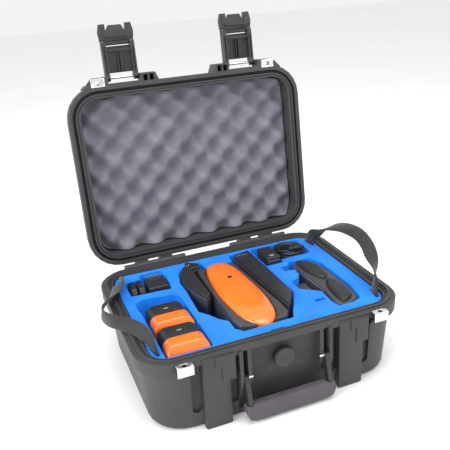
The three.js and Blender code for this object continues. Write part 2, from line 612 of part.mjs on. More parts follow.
function latchLever(centre) {
  const leverY = RAIL_FRONT + RAIL_END_RADIUS;
  const tip = LEVER_Z - LEVER_LENGTH;
  const free = railInner - RUN;
  const hookTop = CATCH_BOTTOM - RUN;
  const parts = [
    rod("x", 4, [centre - free, centre + free], [leverY, LEVER_Z], 20),
    block([centre - free, centre + free], [RAIL_FRONT + 1, leverY + 2], [tip + 10, LEVER_Z]),
    block([centre - free, centre + free], [leverY, COLUMN_FACE - 0.9], [hookTop - 3.5, hookTop]),
  ];
  for (const sign of [-1, 1]) {
    const near = free - 3;
    const outline = [[near, tip], [LATCH_WIDTH / 2 - 1, tip], [LATCH_WIDTH / 2 + 2, tip + 14],
      [LATCH_WIDTH / 2, LEVER_Z],
      [near, LEVER_Z]];
    const arm = new THREE.Shape(outline.map(([x, z]) => new THREE.Vector2(centre + sign * x, z)));
    const geometry = new THREE.ExtrudeGeometry(arm, { depth: 9, bevelEnabled: false });
    geometry.rotateX(Math.PI / 2).translate(0, RAIL_FRONT + 9.2, 0);
    parts.push(solidOf(geometry));
  }
  const tab = [[-16, tip + 11], [-11, tip + 2], [11, tip + 2], [16, tip + 11]];
  const tabShape = new THREE.Shape(tab.map(([x, z]) => new THREE.Vector2(centre + x, z)));
  const tabGeometry = new THREE.ExtrudeGeometry(tabShape, { depth: 4, bevelEnabled: false });
  parts.push(solidOf(tabGeometry.rotateX(Math.PI / 2).translate(0, RAIL_FRONT + 5, 0)));
  const railRoom = [-1, 1].map((sign) => {
    const where = sign > 0
      ? [centre + free, centre + LATCH_WIDTH]
      : [centre - LATCH_WIDTH, centre - free];
    return rod("x", RAIL_END_RADIUS + 0.6, where, [leverY, LEVER_Z], 20);
  });
  const bore = rod("x", LEVER_PIN_RADIUS + GAP, [centre - LATCH_WIDTH, centre + LATCH_WIDTH],
    [leverY, LEVER_Z], 16);
  return cutAll(join(parts), [...railRoom, bore]);
}

for (const [side, sign] of SIDES) {
  const centre = sign * LATCH_X;
  const pinHalf = LATCH_WIDTH / 2 + 7;
  place(lid, `latch_pin_${side}`,
    rod("x", LATCH_PIN_RADIUS, [centre - pinHalf, centre + pinHalf], [LATCH_Y, LATCH_Z], 16), "steel");
  const latch = turned(lid, LATCH_Y, LATCH_Z, -90);
  place(latch, `latch_body_${side}`, latchBody(centre), "latch");
  const leverHalf = LATCH_WIDTH / 2 - 1;
  place(latch, `lever_pin_${side}`,
    rod("x", LEVER_PIN_RADIUS, [centre - leverHalf, centre + leverHalf],
      [RAIL_FRONT + RAIL_END_RADIUS, LEVER_Z], 14), "steel");
  place(latch, `latch_lever_${side}`, latchLever(centre), "latch");
}

// ---------- handle ----------
const gripTop = GRIP_LOW + GRIP_HEIGHT;
const gripY = -RIM_FACE - GRIP_OUT;

// The nylon core: two arms that hang from the pins and the bar that runs inside the grip.
function handleCore() {
  const parts = [];
  for (const [, sign] of SIDES) {
    const outline = [[HANDLE_PIN_Y + 4, HANDLE_PIN_Z + 4], [HANDLE_PIN_Y - 4, HANDLE_PIN_Z + 4],
      [gripY - 5, gripTop + 1], [gripY - 5, GRIP_LOW + 9], [gripY + 5, GRIP_LOW + 9],
        [gripY + 5, gripTop + 1],
      [HANDLE_PIN_Y + 4, HANDLE_PIN_Z - 5]];
    const where = span(sign, HANDLE_PIN_X - ARM_WIDTH / 2, HANDLE_PIN_X + ARM_WIDTH / 2);
    parts.push(sidePrism(outline, where));
  }
  const reach = HANDLE_PIN_X + ARM_WIDTH / 2;
  parts.push(block([-reach, reach], [gripY - 5, gripY + 5], [GRIP_LOW + 9, GRIP_LOW + 21]));
  const bores = SIDES.map(([, sign]) =>
    rod("x", HANDLE_PIN_RADIUS + RUN, span(sign, 40, 90), [HANDLE_PIN_Y, HANDLE_PIN_Z], 16));
  return cutAll(join(parts), bores);
}

function handleGrip() {
  const half = GRIP_WIDTH / 2;
  const side = [[-GRIP_DEPTH / 2, 9], [-GRIP_DEPTH / 2 + 3, 2], [-3, 0], [GRIP_DEPTH / 2 - 4, 1.5],
    [GRIP_DEPTH / 2, 8],
    [GRIP_DEPTH / 2, GRIP_HEIGHT - 7], [GRIP_DEPTH / 2 - 3, GRIP_HEIGHT], [-GRIP_DEPTH / 2 + 4, GRIP_HEIGHT],
    [-GRIP_DEPTH / 2, GRIP_HEIGHT - 6]];
  const bar = sidePrism(side.map(([y, z]) => [gripY + y, GRIP_LOW + z]), [-half, half]);
  const outline = [[-half, 18], [-half + 4, 7], [-half + 14, 1], [-half + 26, 0], [half - 26, 0],
    [half - 14, 1],
    [half - 4, 7], [half, 18], [half, GRIP_HEIGHT + 1], [-half, GRIP_HEIGHT + 1]];
  const front = new THREE.Shape(outline.map(([x, z]) => new THREE.Vector2(x, GRIP_LOW + z)));
  const slabGeometry = new THREE.ExtrudeGeometry(front, { depth: 60, bevelEnabled: false });
  const rounded = bar.intersect(solidOf(slabGeometry.rotateX(Math.PI / 2).translate(0, gripY + 30, 0)));
  const reach = HANDLE_PIN_X + ARM_WIDTH / 2 + GAP;
  const room = block([-reach, reach], [gripY - 5 - GAP, gripY + 5 + GAP],
    [GRIP_LOW + 9 - GAP, GRIP_LOW + 21 + GAP]);
  const armRoom = SIDES.map(([, sign]) =>
    block(span(sign, HANDLE_PIN_X - ARM_WIDTH / 2 - GAP, reach), [gripY - 5 - GAP, gripY + 5 + GAP],
      [GRIP_LOW + 9, gripTop + 5]));
  return cutAll(rounded, [room, ...armRoom]);
}
place(made, "handle_core", handleCore(), "latch");
place(made, "handle_grip", handleGrip(), "rubber");

// ---------- foam ----------
place(made, "base_foam_pad", slab(FOAM_WIDTH, FOAM_DEPTH, FOAM_CORNER, FLOOR + GAP, PAD_TOP), "blackFoam");

const DRONE_POCKET = [[-56, 130], [-80, 100], [-88, 64], [-87, 36], [-91, -36], [-79, -52], [-70, -70],
  [-58, -82],
  [-58, -106], [-48, -118], [36, -116], [42, -100], [54, -80], [70, -48], [69, 60], [68, 126], [26, 126],
    [22, 101],
  [-30, 101], [-32, 122]];
const batteryHalf = BATTERY_WIDTH / 2 + 2 * POCKET_CLEAR;
const batteryBack = BATTERY_FRONT + BATTERY_PITCH + BATTERY_LENGTH;
const BATTERY_POCKET = [[-batteryHalf, BATTERY_FRONT - POCKET_CLEAR],
  [batteryHalf, BATTERY_FRONT - POCKET_CLEAR],
  [batteryHalf, batteryBack + 22], [batteryHalf - 8, batteryBack + 35], [-22, batteryBack + 42],
  [-batteryHalf - 2, batteryBack + 34], [-batteryHalf - 2, batteryBack + 8], [-batteryHalf, batteryBack]]
  .map(([x, y]) => [BATTERY_X + x, y]);
const CONTROLLER_POCKET = [[112, 52], [152, 50], [162, 24], [164, -20], [164, -70], [158, -110], [142, -117],
  [114, -117], [110, -100], [112, -66], [104, -58], [84, -44], [82, -16], [100, -7], [108, 4], [108, 22],
    [90, 24],
  [90, 40], [107, 42]];
const SPARES_POCKET = [[-175, 60], [-106, 56], [-103, 100], [-105, 128], [-144, 128], [-146, 112],
  [-175, 108]];
const clockwise = (outline) => THREE.ShapeUtils.area(outline.map(([x, y]) => new THREE.Vector2(x, y))) < 0;
const turnedLeft = (outline) => (clockwise(outline) ? outline.slice().reverse() : outline);
const pocket = (outline, low) => prism(turnedLeft(outline), low, FOAM_TOP + 9);

// A slot near a corner of the foam for the end of a lift strap.
function strapSlot(sign, y) {
  const slant = (y > 0 ? 1 : -1) * (sign > 0 ? -1 : 1) * STRAP_SLANT;
  const wide = STRAP_WIDTH + 2 * STRAP_SLOT_CLEAR;
  const thick = STRAP_THICK + 2 * STRAP_SLOT_CLEAR;
  const slot = new THREE.BoxGeometry(wide, thick, STRAP_SLOT_DEPTH + 1);
  slot.rotateZ(THREE.MathUtils.degToRad(slant));
  slot.translate(sign * STRAP_SLOT_X, y, FOAM_TOP - STRAP_SLOT_DEPTH / 2 + 0.5);
  return solidOf(slot);
}

function trayFoam() {
  const blank = slab(FOAM_WIDTH, FOAM_DEPTH, FOAM_CORNER, TRAY_LOW, FOAM_TOP);
  const [coilX, coilY] = COIL_CENTRE;
  const coilOut = COIL_RADIUS + COIL_WIDE * CABLE_RADIUS + 3;
  return cutAll(blank, [
    pocket(DRONE_POCKET, DRONE_POCKET_LOW),
    pocket(BATTERY_POCKET, BATTERY_LOW - GAP),
    pocket(CONTROLLER_POCKET, CONTROLLER_LOW - GAP),
    pocket(SPARES_POCKET, SPARES_LOW - GAP),
    block([CHARGER_SPAN[0] - POCKET_CLEAR, CHARGER_SPAN[1] + GLAND_LONG + 1],
      [CHARGER_DEPTH_SPAN[0] - POCKET_CLEAR, 130],
      [CHARGER_LOW - GAP, FOAM_TOP + 9]),
    block([CHARGER_SPAN[1] - 1, coilX + coilOut], [coilY - coilOut, 130], [COIL_LOW - GAP, FOAM_TOP + 9]),
    block([-12, 10], [-FOAM_DEPTH, -FOAM_DEPTH / 2 + 5], [FOAM_TOP - 12, FOAM_TOP + 9]),
    block([88, 106], [-92, -84], [FOAM_TOP - 14, FOAM_TOP + 9]),
    ...SIDES.flatMap(([, sign]) => STRAP_SLOT_Y.map((y) => strapSlot(sign, y))),
  ]);
}
place(made, "tray_foam", trayFoam(), "blueFoam");

// ---------- lift straps ----------
// Stations along each strap: [distance out from its slots, y, height above the foam, tilt of the band in
// degrees].
const STANDING_STRAP = [[0, 106, -14, 0], [0, 106, 5, 0], [5, 97, 20, 0], [13, 74, 38, 10], [20, 45, 52, 25],
  [24, 15, 60, 35], [27, -18, 61, 40], [24, -48, 56, 30], [16, -74, 44, 10], [8, -97, 26, 0], [0, -110, 5, 0],
  [0, -110, -14, 0]].map(([out, ...rest]) => [STRAP_SLOT_X + out, ...rest]);
const FALLEN_STRAP = [[0, 106, -14, 0], [0, 106, 5, 0], [4, 88, 14, 0], [21, 55, 12, 30], [41, 24, 16, 60],
  [52, -4, 18, 85], [44, -30, 19, 75], [26, -50, 19, 60], [12, -70, 18, 50], [4, -92, 16, 30],
    [0, -110, 5, 0],
  [0, -110, -14, 0]].map(([out, ...rest]) => [-STRAP_SLOT_X - out, ...rest]);

// A flat band through the stations, its width level at no tilt and upright at 90 degrees.
function band(stations) {
  const line = new THREE.CatmullRomCurve3(stations.map(([x, y, up]) => new THREE.Vector3(x, y,
    FOAM_TOP + up)), false,
    "centripetal");
  const count = stations.length * 3;
  const rings = [];
  for (let i = 0; i <= count; i += 1) {
    const share = i / count;
    const point = line.getPoint(share);
    const along = line.getTangent(share);
    const place0 = share * (stations.length - 1);
    const index = Math.min(Math.floor(place0), stations.length - 2);
    const tilt = THREE.MathUtils.lerp(stations[index][3], stations[index + 1][3], place0 - index);
    const ends = THREE.MathUtils.clamp((8 - Math.min(i, count - i)) / 4, 0, 1);
    const turn = (share < 0.5 ? 1 : -1) * (point.x > 0 ? -1 : 1);
    const slant = THREE.MathUtils.degToRad(STRAP_SLANT * ends) * turn;
    const level = new THREE.Vector3(Math.cos(slant), Math.sin(slant), 0);
    const lean = THREE.MathUtils.degToRad(tilt);
    const wide = level.multiplyScalar(Math.cos(lean)).add(new THREE.Vector3(0, 0, Math.sin(lean)));
    wide.addScaledVector(along, -wide.dot(along)).normalize();
    const face = new THREE.Vector3().crossVectors(along, wide).normalize();
    const corner = (a, b) => point.clone().addScaledVector(wide, (a * STRAP_WIDTH) / 2)
      .addScaledVector(face, (b * STRAP_THICK) / 2).toArray();
    rings.push([corner(-1, -1), corner(1, -1), corner(1, 1), corner(-1, 1)]);
  }
  return loft(rings);
}
place(made, "lift_strap_left", band(FALLEN_STRAP), "webbing");
place(made, "lift_strap_right", band(STANDING_STRAP), "webbing");

// ---------- folded drone ----------
const COVER_PLAN = [[-33, 88], [-12, 91], [8, 87], [16, 60], [20, 20], [22, -20], [22, -55], [18, -85],
  [8, -106],
  [-8, -115], [-24, -110], [-36, -90], [-43, -50], [-45, -10], [-43, 30], [-39, 62]];
const COVER_MIDDLE = [-12, -14];
const coverSpread = (share, steps) => smoothOutline(COVER_PLAN, steps).map(([x, y]) => [
  COVER_MIDDLE[0] + (x - COVER_MIDDLE[0]) * share,
  COVER_MIDDLE[1] + (y - COVER_MIDDLE[1]) * (0.35 + 0.65 * share),
]);

// The orange cover is a long low dome whose nose dips towards the foam.
function droneCover() {
  const levels = [[-DRONE_COVER_DEEP, 1], [3, 1], [8, 0.93], [12, 0.76], [DRONE_COVER_PROUD, 0.45]];
  const rings = levels.map(([up, share]) => coverSpread(share, 32).map(([x, y]) => {
    const nose = Math.max(0, (-50 - y) / 65);
    const dip = up > 0 ? Math.min(10, up * 0.8) * nose * nose : 0;
    return [x, y, FOAM_TOP + up - dip];
  }));
  return loft(rings.map((one) => one.slice().reverse()));
}

const BODY_PLAN = [[-46, 94], [10, 96], [22, 90], [26, 40], [31, -20], [35, -70], [35, -98], [26, -110],
  [-34, -112],
  [-50, -106], [-54, -85], [-52, -40], [-52, 20], [-50, 70]];
function droneBody() {
  const top = FOAM_TOP + DRONE_BODY_PROUD;
  const hull = prism(turnedLeft(BODY_PLAN), DRONE_LOW + 14, top);
  const belly = prism(turnedLeft(BODY_PLAN.map(([x, y]) => [x * 0.7 - 3, y * 0.7])), DRONE_LOW,
    DRONE_LOW + 15);
  const seat = prism(turnedLeft(coverSpread(1.03, 32)), FOAM_TOP - DRONE_COVER_DEEP - GAP, FOAM_TOP + 30);
  return hull.add(belly).subtract(seat);
}

const LEFT_ARM = [[-58, 126], [-38, 113], [-40, 100], [-57, 98], [-57, 0], [-67, -9], [-79, 24],
  [-85, 62], [-78, 94]];
const RIGHT_ARM = [[30, 112], [62, 120], [62, 60], [66, -48], [52, -74], [42, -84], [40, -60], [38, -20],
  [33, 40],
  [29, 92]];
place(made, "drone_cover", droneCover(), "orange");
place(made, "drone_body", droneBody(), "drone");
for (const [side, outline] of [["left", LEFT_ARM], ["right", RIGHT_ARM]]) {
  const top = FOAM_TOP + DRONE_ARM_PROUD - PROPELLER_THICK;
  place(made, `drone_arm_${side}`, prism(turnedLeft(outline), top - DRONE_ARM_THICK, top), "drone");
  place(made, `drone_propeller_${side}`,
    prism(turnedLeft(outline), top + GAP, FOAM_TOP + DRONE_ARM_PROUD), "darkPlastic");
}

// ---------- batteries ----------
// An upright round-shouldered outline in XZ, pushed along Y.
function shouldered(width, high, corner, [y0, y1]) {
  const half = width / 2;
  const shape = new THREE.Shape();
  shape.moveTo(BATTERY_X - half, BATTERY_LOW);
  shape.lineTo(BATTERY_X + half, BATTERY_LOW);
  shape.lineTo(BATTERY_X + half, high - corner);
  shape.absarc(BATTERY_X + half - corner, high - corner, corner, 0, Math.PI / 2, false);
  shape.absarc(BATTERY_X - half + corner, high - corner, corner, Math.PI / 2, Math.PI, false);
  const geometry = new THREE.ExtrudeGeometry(shape, { depth: y1 - y0, bevelEnabled: false,
    curveSegments: 4 });
  return solidOf(geometry.rotateX(Math.PI / 2).translate(0, y1, 0));
}

["front", "rear"].forEach((name, index) => {
  const front = BATTERY_FRONT + index * BATTERY_PITCH;
  const seam = front + BATTERY_CAP_LENGTH;
  const high = FOAM_TOP + BATTERY_PROUD;
  const capLow = FOAM_TOP - 22;
  const cap = shouldered(BATTERY_WIDTH, high, BATTERY_CORNER, [front, seam])
    .intersect(block([-300, 300], [front, seam], [capLow, high]));
  const slope = sidePrism([[front - 1, high - 12], [front + 9, high + 1], [front - 1, high + 1]],
    [-300, 300]);
  place(made, `battery_cap_${name}`, cap.subtract(slope), "orange");
  const bodyWidth = BATTERY_WIDTH - 2 * BATTERY_INSET;
  const body = shouldered(bodyWidth, high - BATTERY_INSET, BATTERY_CORNER, [front + 1,
    front + BATTERY_LENGTH]);
  const seat = block([-300, 300], [front - 1, seam + GAP], [capLow - GAP, high + 1]);
  place(made, `battery_body_${name}`, body.subtract(seat), "darkPlastic");
});

// ---------- controller ----------
const CONTROLLER_PLAN = [[120, 46], [144, 44], [156, 20], [160, -20], [160, -70], [155, -104],
  [140, -112], [120, -112],
  [115, -100], [119, -60], [118, -20], [114, 20]];
const GRIP_PLANS = {
  rear: [[122, 42], [140, 40], [150, 12], [148, -22], [136, -30], [124, 0]],
  front: [[138, -36], [150, -44], [154, -70], [150, -98], [138, -108], [124, -108], [126, -62]],
};
const gripLow = FOAM_TOP - 1;
place(made, "controller_body", prism(turnedLeft(CONTROLLER_PLAN), CONTROLLER_LOW, gripLow - GAP), "drone");
for (const [name, outline] of Object.entries(GRIP_PLANS))
  place(made, `controller_grip_${name}`,
    prism(turnedLeft(outline), gripLow, gripLow + CONTROLLER_GRIP_THICK), "gripRubber");
place(made, "controller_bracket",
  prism([[86, -40], [112, -52], [112, -10], [104, -9], [86, -18]], CONTROLLER_LOW, FOAM_TOP - 12), "drone");

// ---------- charger with its coiled lead ----------
const chargerTop = FOAM_TOP + CHARGER_PROUD;
const [coilX, coilY] = COIL_CENTRE;
const turnsHalf = COIL_WIDE * CABLE_RADIUS;
const coilTop = COIL_LOW + 2 * COIL_HIGH * CABLE_RADIUS;
const leadY = coilY - COIL_RADIUS - turnsHalf + CABLE_RADIUS;
const leadZ = COIL_LOW + CABLE_RADIUS;
place(made, "charger_brick",
  block(CHARGER_SPAN, CHARGER_DEPTH_SPAN, [CHARGER_LOW, chargerTop]), "darkPlastic");
const glandStart = CHARGER_SPAN[1] + GAP;
place(made, "charger_gland", rod("x", CABLE_RADIUS + 1, [glandStart, glandStart + GLAND_LONG],
  [leadY, leadZ], 16), "seal");
const leadEnd = coilX - Math.sqrt((COIL_RADIUS + turnsHalf + GAP) ** 2 - (coilY - leadY - CABLE_RADIUS) ** 2);
place(made, "charger_lead",
  rod("x", CABLE_RADIUS, [glandStart + GLAND_LONG + GAP, leadEnd - GAP], [leadY, leadZ], 8), "cable");
const coil = rod("z", COIL_RADIUS + turnsHalf, [COIL_LOW, coilTop], COIL_CENTRE, 32)
  .subtract(rod("z", COIL_RADIUS - turnsHalf, [COIL_LOW - 1, coilTop + 1], COIL_CENTRE, 32));
place(made, "charger_coil", coil, "cable");
const plugZ = coilTop + GAP + PLUG_RADIUS;
place(made, "charger_plug", rod("x", PLUG_RADIUS, PLUG_SPAN, [PLUG_Y, plugZ], 16), "gripRubber");
const tailPath = new THREE.CatmullRomCurve3([
  new THREE.Vector3(PLUG_SPAN[0] - 12, PLUG_Y + 1.8, coilTop + GAP + CABLE_RADIUS),
  new THREE.Vector3(PLUG_SPAN[0] - 6, PLUG_Y + 0.4, plugZ - 0.8),
  new THREE.Vector3(PLUG_SPAN[0] - GAP, PLUG_Y, plugZ),
]);
const tailSection = new THREE.Shape();
tailSection.absarc(0, 0, CABLE_RADIUS, 0, 2 * Math.PI, false);
place(made, "charger_lead_tail", solidOf(new THREE.ExtrudeGeometry(tailSection,
  { steps: 4, curveSegments: 4, extrudePath: tailPath })), "cable");

// ---------- spare propellers and charging hub ----------
const sparesTop = FOAM_TOP + SPARES_PROUD;
place(made, "charging_hub", block([-143, -108], [64, 104], [SPARES_LOW, sparesTop - 2]), "darkPlastic");
place(made, "hub_contacts", block([-140, -111], [105, 107], [sparesTop - 12, sparesTop + 1]), "steel");
[[-172, -162], [-159, -149]].forEach(([x0, x1], index) => {
  const outline = [[64, SPARES_LOW], [104, SPARES_LOW], [104, sparesTop - 8], [98, sparesTop],
    [70, sparesTop],
    [64, sparesTop - 8]];
  place(made, `spare_propeller_${index + 1}`, sidePrism(outline, [x0, x1]), "darkPlastic");
});

export default made;
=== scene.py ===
"""Looks of a hard carrying case that stands open, with a folded camera drone packed in its blue foam.

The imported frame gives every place. Pieces are drawn in millimetres and scaled to metres once, and what
belongs to the lid is drawn shut and swung open with it.
"""

import json
import math

import bmesh
import bpy
from mathutils import Matrix, Vector


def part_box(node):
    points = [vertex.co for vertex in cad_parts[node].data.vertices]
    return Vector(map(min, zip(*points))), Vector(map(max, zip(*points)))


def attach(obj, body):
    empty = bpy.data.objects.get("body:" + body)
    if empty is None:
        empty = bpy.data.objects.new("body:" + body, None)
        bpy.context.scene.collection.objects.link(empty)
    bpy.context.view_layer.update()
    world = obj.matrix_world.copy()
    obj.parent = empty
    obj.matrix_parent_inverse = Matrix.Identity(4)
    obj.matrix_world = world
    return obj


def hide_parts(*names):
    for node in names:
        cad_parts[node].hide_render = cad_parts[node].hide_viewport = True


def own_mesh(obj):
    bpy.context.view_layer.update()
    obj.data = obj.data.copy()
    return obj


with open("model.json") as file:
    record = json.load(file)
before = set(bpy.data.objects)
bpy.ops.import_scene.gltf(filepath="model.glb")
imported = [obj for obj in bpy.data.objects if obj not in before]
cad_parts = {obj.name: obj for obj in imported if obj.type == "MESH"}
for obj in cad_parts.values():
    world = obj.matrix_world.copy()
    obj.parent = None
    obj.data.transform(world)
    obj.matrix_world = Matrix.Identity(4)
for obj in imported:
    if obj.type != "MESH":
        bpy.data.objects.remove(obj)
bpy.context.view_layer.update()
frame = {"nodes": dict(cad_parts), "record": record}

MM = 0.001
SIDES = {"left": -1, "right": 1}
RECORD_JOINTS = {joint["name"]: joint for joint in frame["record"]["behaviour"]["joints"]}
HINGE = Vector(RECORD_JOINTS["lid_hinge"]["pos_m"])
OPEN_TURN = math.radians(RECORD_JOINTS["lid_hinge"]["range_deg"][0])
OPEN_LID = Matrix.Translation(HINGE) @ Matrix.Rotation(OPEN_TURN, 4, "X") @ Matrix.Translation(-HINGE)


def box_mm(node):
    """A CAD node's lowest and highest corners in millimetres."""
    low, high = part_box(node)
    return Vector(low) / MM, Vector(high) / MM


def shut_box_mm(node):
    """The same for a node of the lid, as it lies when the lid is shut."""
    back = OPEN_LID.inverted()
    points = [back @ vertex.co for vertex in frame["nodes"][node].data.vertices]
    low = Vector([min(point[axis] for point in points) for axis in range(3)])
    high = Vector([max(point[axis] for point in points) for axis in range(3)])
    return low / MM, high / MM


FOAM_LOW, FOAM_HIGH = box_mm("tray_foam")
FOAM_TOP = FOAM_HIGH.z


# ---------- camera, light and floor ----------
CAMERA_AT = (-342.6, -844.8, 632.5)
CAMERA_AZIMUTH = math.radians(-20.60)
CAMERA_ELEVATION = math.radians(23.38)
CAMERA_ROLL = math.radians(-3.23)
LENS = 49.87
FLOOR_HALF = 6.0


def aim_camera():
    level_reach = math.cos(CAMERA_ELEVATION)
    back = Vector((
        math.sin(CAMERA_AZIMUTH) * level_reach,
        -math.cos(CAMERA_AZIMUTH) * level_reach,
        math.sin(CAMERA_ELEVATION),
    ))
    level = Vector((0, 0, 1)).cross(back).normalized()
    high = back.cross(level)
    right = level * math.cos(CAMERA_ROLL) + high * math.sin(CAMERA_ROLL)
    up = high * math.cos(CAMERA_ROLL) - level * math.sin(CAMERA_ROLL)
    turn = Matrix((right, up, back)).transposed().to_4x4()
    data = bpy.data.cameras.new("view")
    data.lens = LENS
    data.sensor_width = 36
    data.clip_start = 0.01
    camera = bpy.data.objects.new("view", data)
    camera.matrix_world = Matrix.Translation(Vector(CAMERA_AT) * MM) @ turn
    bpy.context.collection.objects.link(camera)
    bpy.context.scene.camera = camera


def softbox(name, place, width, height, power, aim=(0, 0, 0.15)):
    data = bpy.data.lights.new(name, "AREA")
    data.shape = "RECTANGLE"
    data.size = width
    data.size_y = height
    data.energy = power
    light = bpy.data.objects.new(name, data)
    light.location = place
    light.rotation_euler = (Vector(aim) - Vector(place)).to_track_quat("-Z", "Y").to_euler()
    bpy.context.collection.objects.link(light)


def studio():
    """A white sweep with a big softbox on each side and one overhead."""
    world = bpy.data.worlds.new("studio")
    world.use_nodes = True
    world.node_tree.nodes["Background"].inputs["Color"].default_value = (1, 1, 1, 1)
    world.node_tree.nodes["Background"].inputs["Strength"].default_value = 0.9
    bpy.context.scene.world = world
    bpy.context.scene.view_settings.view_transform = "Standard"
    softbox("left_softbox", (-1.9, -0.5, 1.1), 1.6, 1.4, 34)
    softbox("right_softbox", (1.6, -1.7, 1.3), 1.2, 1.0, 9)
    softbox("top_softbox", (0.1, -0.3, 2.1), 1.6, 1.2, 22)


# ---------- small helpers ----------
def linear(code):
    """An sRGB hex colour as the linear RGBA that a socket takes."""
    parts = [int(code[start:start + 2], 16) / 255 for start in (1, 3, 5)]
    return [part / 12.92 if part <= 0.04045 else ((part + 0.055) / 1.055) ** 2.4 for part in parts] + [1.0]


def add(tree, kind, inputs=None, **settings):
    """Adds a node, sets its properties, and sets each input or links it to a socket."""
    made = tree.nodes.new(kind)
    for name, value in settings.items():
        setattr(made, name, value)
    for name, value in (inputs or {}).items():
        if isinstance(value, bpy.types.NodeSocket):
            tree.links.new(value, made.inputs[name])
        else:
            made.inputs[name].default_value = value
    return made


def select_only(obj):
    if bpy.context.object and bpy.context.object.mode != "OBJECT":
        bpy.ops.object.mode_set(mode="OBJECT")
    bpy.ops.object.select_all(action="DESELECT")
    obj.select_set(True)
    bpy.context.view_layer.objects.active = obj


def edit_all(obj):
    select_only(obj)
    bpy.ops.object.mode_set(mode="EDIT")
    bpy.ops.mesh.select_all(action="SELECT")


def leave_edit():
    bpy.ops.object.mode_set(mode="OBJECT")


def modify(obj, kind, **settings):
    """Gives obj a modifier and applies it."""
    modifier = obj.modifiers.new(kind.lower(), kind)
    for name, value in settings.items():
        setattr(modifier, name, value)
    select_only(obj)
    bpy.ops.object.modifier_apply(modifier=modifier.name)


def rounded(obj, width, segments=2, sharp=32, smooth=38):
    """Rounds every edge sharper than so many degrees, and shades what is left smooth."""
    modify(
        obj, "BEVEL", width=width * MM, segments=segments, limit_method="ANGLE",
        angle_limit=math.radians(sharp), use_clamp_overlap=True,
    )
    shade(obj, smooth)


def shade(obj, smooth=38):
    select_only(obj)
    bpy.ops.object.shade_smooth_by_angle(angle=math.radians(smooth))


def copy_of(node):
    """A merged copy of a CAD node, with its flat faces joined up again."""
    mesh = frame["nodes"][node].data.copy()
    copy = bpy.data.objects.new(f"{node}_finished", mesh)
    bpy.context.collection.objects.link(copy)
    edit_all(copy)
    bpy.ops.mesh.remove_doubles(threshold=0.005 * MM)
    bpy.ops.mesh.dissolve_limited(angle_limit=math.radians(0.8))
    leave_edit()
    return copy


def take_name(obj, name):
    obj.name = name
    obj.data.name = name
    return obj


def settle(obj):
    """Moves obj's place into its mesh, in metres, so that the object sits at the origin."""
    select_only(obj)
    bpy.ops.object.transform_apply(location=True, rotation=True, scale=True)


def plate(name, outline, low, high):
    """A flat outline in XY, drawn as a filled circle's points and extruded downwards. Millimetres."""
    bpy.ops.object.select_all(action="DESELECT")
    bpy.ops.mesh.primitive_circle_add(vertices=len(outline), radius=1, fill_type="NGON")
    obj = take_name(bpy.context.object, name)
    for vertex, (x, y) in zip(obj.data.vertices, outline):
        vertex.co = Vector((x, y, high)) * MM
    edit_all(obj)
    bpy.ops.mesh.extrude_region_move(TRANSFORM_OT_translate={"value": (0, 0, (low - high) * MM)})
    bpy.ops.mesh.select_all(action="SELECT")
    bpy.ops.mesh.normals_make_consistent(inside=False)
    leave_edit()
    return obj


def cylinder(name, centre, radius, depth, along="z", sides=32):
    """A short cylinder with its middle at centre, in millimetres."""
    turn = {"x": (0, math.pi / 2, 0), "y": (math.pi / 2, 0, 0), "z": (0, 0, 0)}[along]
    bpy.ops.object.select_all(action="DESELECT")
    bpy.ops.mesh.primitive_cylinder_add(
        vertices=sides, radius=radius * MM, depth=depth * MM, location=Vector(centre) * MM, rotation=turn)
    obj = take_name(bpy.context.object, name)
    settle(obj)
    return obj


def block(name, low, high):
    """A box between two corners, in millimetres."""
    low, high = Vector(low) * MM, Vector(high) * MM
    bpy.ops.object.select_all(action="DESELECT")
    bpy.ops.mesh.primitive_cube_add(size=1, location=(low + high) / 2)
    obj = take_name(bpy.context.object, name)
    obj.scale = high - low
    settle(obj)
    return obj


def joined(name, pieces):
    """Several meshes as one object."""
    select_only(pieces[0])
    for piece in pieces:
        piece.select_set(True)
    bpy.ops.object.join()
    return take_name(pieces[0], name)


def flow(points, count):
    """Points evenly numbered along a smooth curve through a few points of any dimension."""
    last = len(points) - 1
    made = []
    for step in range(count):
        place = step / (count - 1) * last
        index = min(int(place), last - 1)
        share = place - index
        around = [points[min(max(index + shift, 0), last)] for shift in (-1, 0, 1, 2)]
        made.append(tuple(
            0.5 * (2 * b + (c - a) * share + (2 * a - 5 * b + 4 * c - d) * share ** 2
                   + (3 * b - a - 3 * c + d) * share ** 3)
            for a, b, c, d in zip(*around)))
    return made


def outline_through(points, count):
    """A closed smooth outline through a few XY points."""
    wrapped = points[-2:] + points + points[:2]
    line = flow(wrapped, count * 10 + 1)
    start = round(2 / (len(wrapped) - 1) * count * 10)
    end = round((len(points) + 2) / (len(wrapped) - 1) * count * 10)
    step = (end - start) / count
    return [line[start + round(step * index)] for index in range(count)]


def fit(obj, body, material, slot, *nodes):
    """A finished piece gets its finish, rides on its body and stands for its CAD nodes."""
    obj.data.materials.clear()
    obj.data.materials.append(material)
    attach(obj, body)
    if nodes:
        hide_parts(*nodes)
    return obj


# ---------- finishes ----------
MIX_FACTOR, MIX_A, MIX_B, MIX_OUT = 0, 6, 7, 2


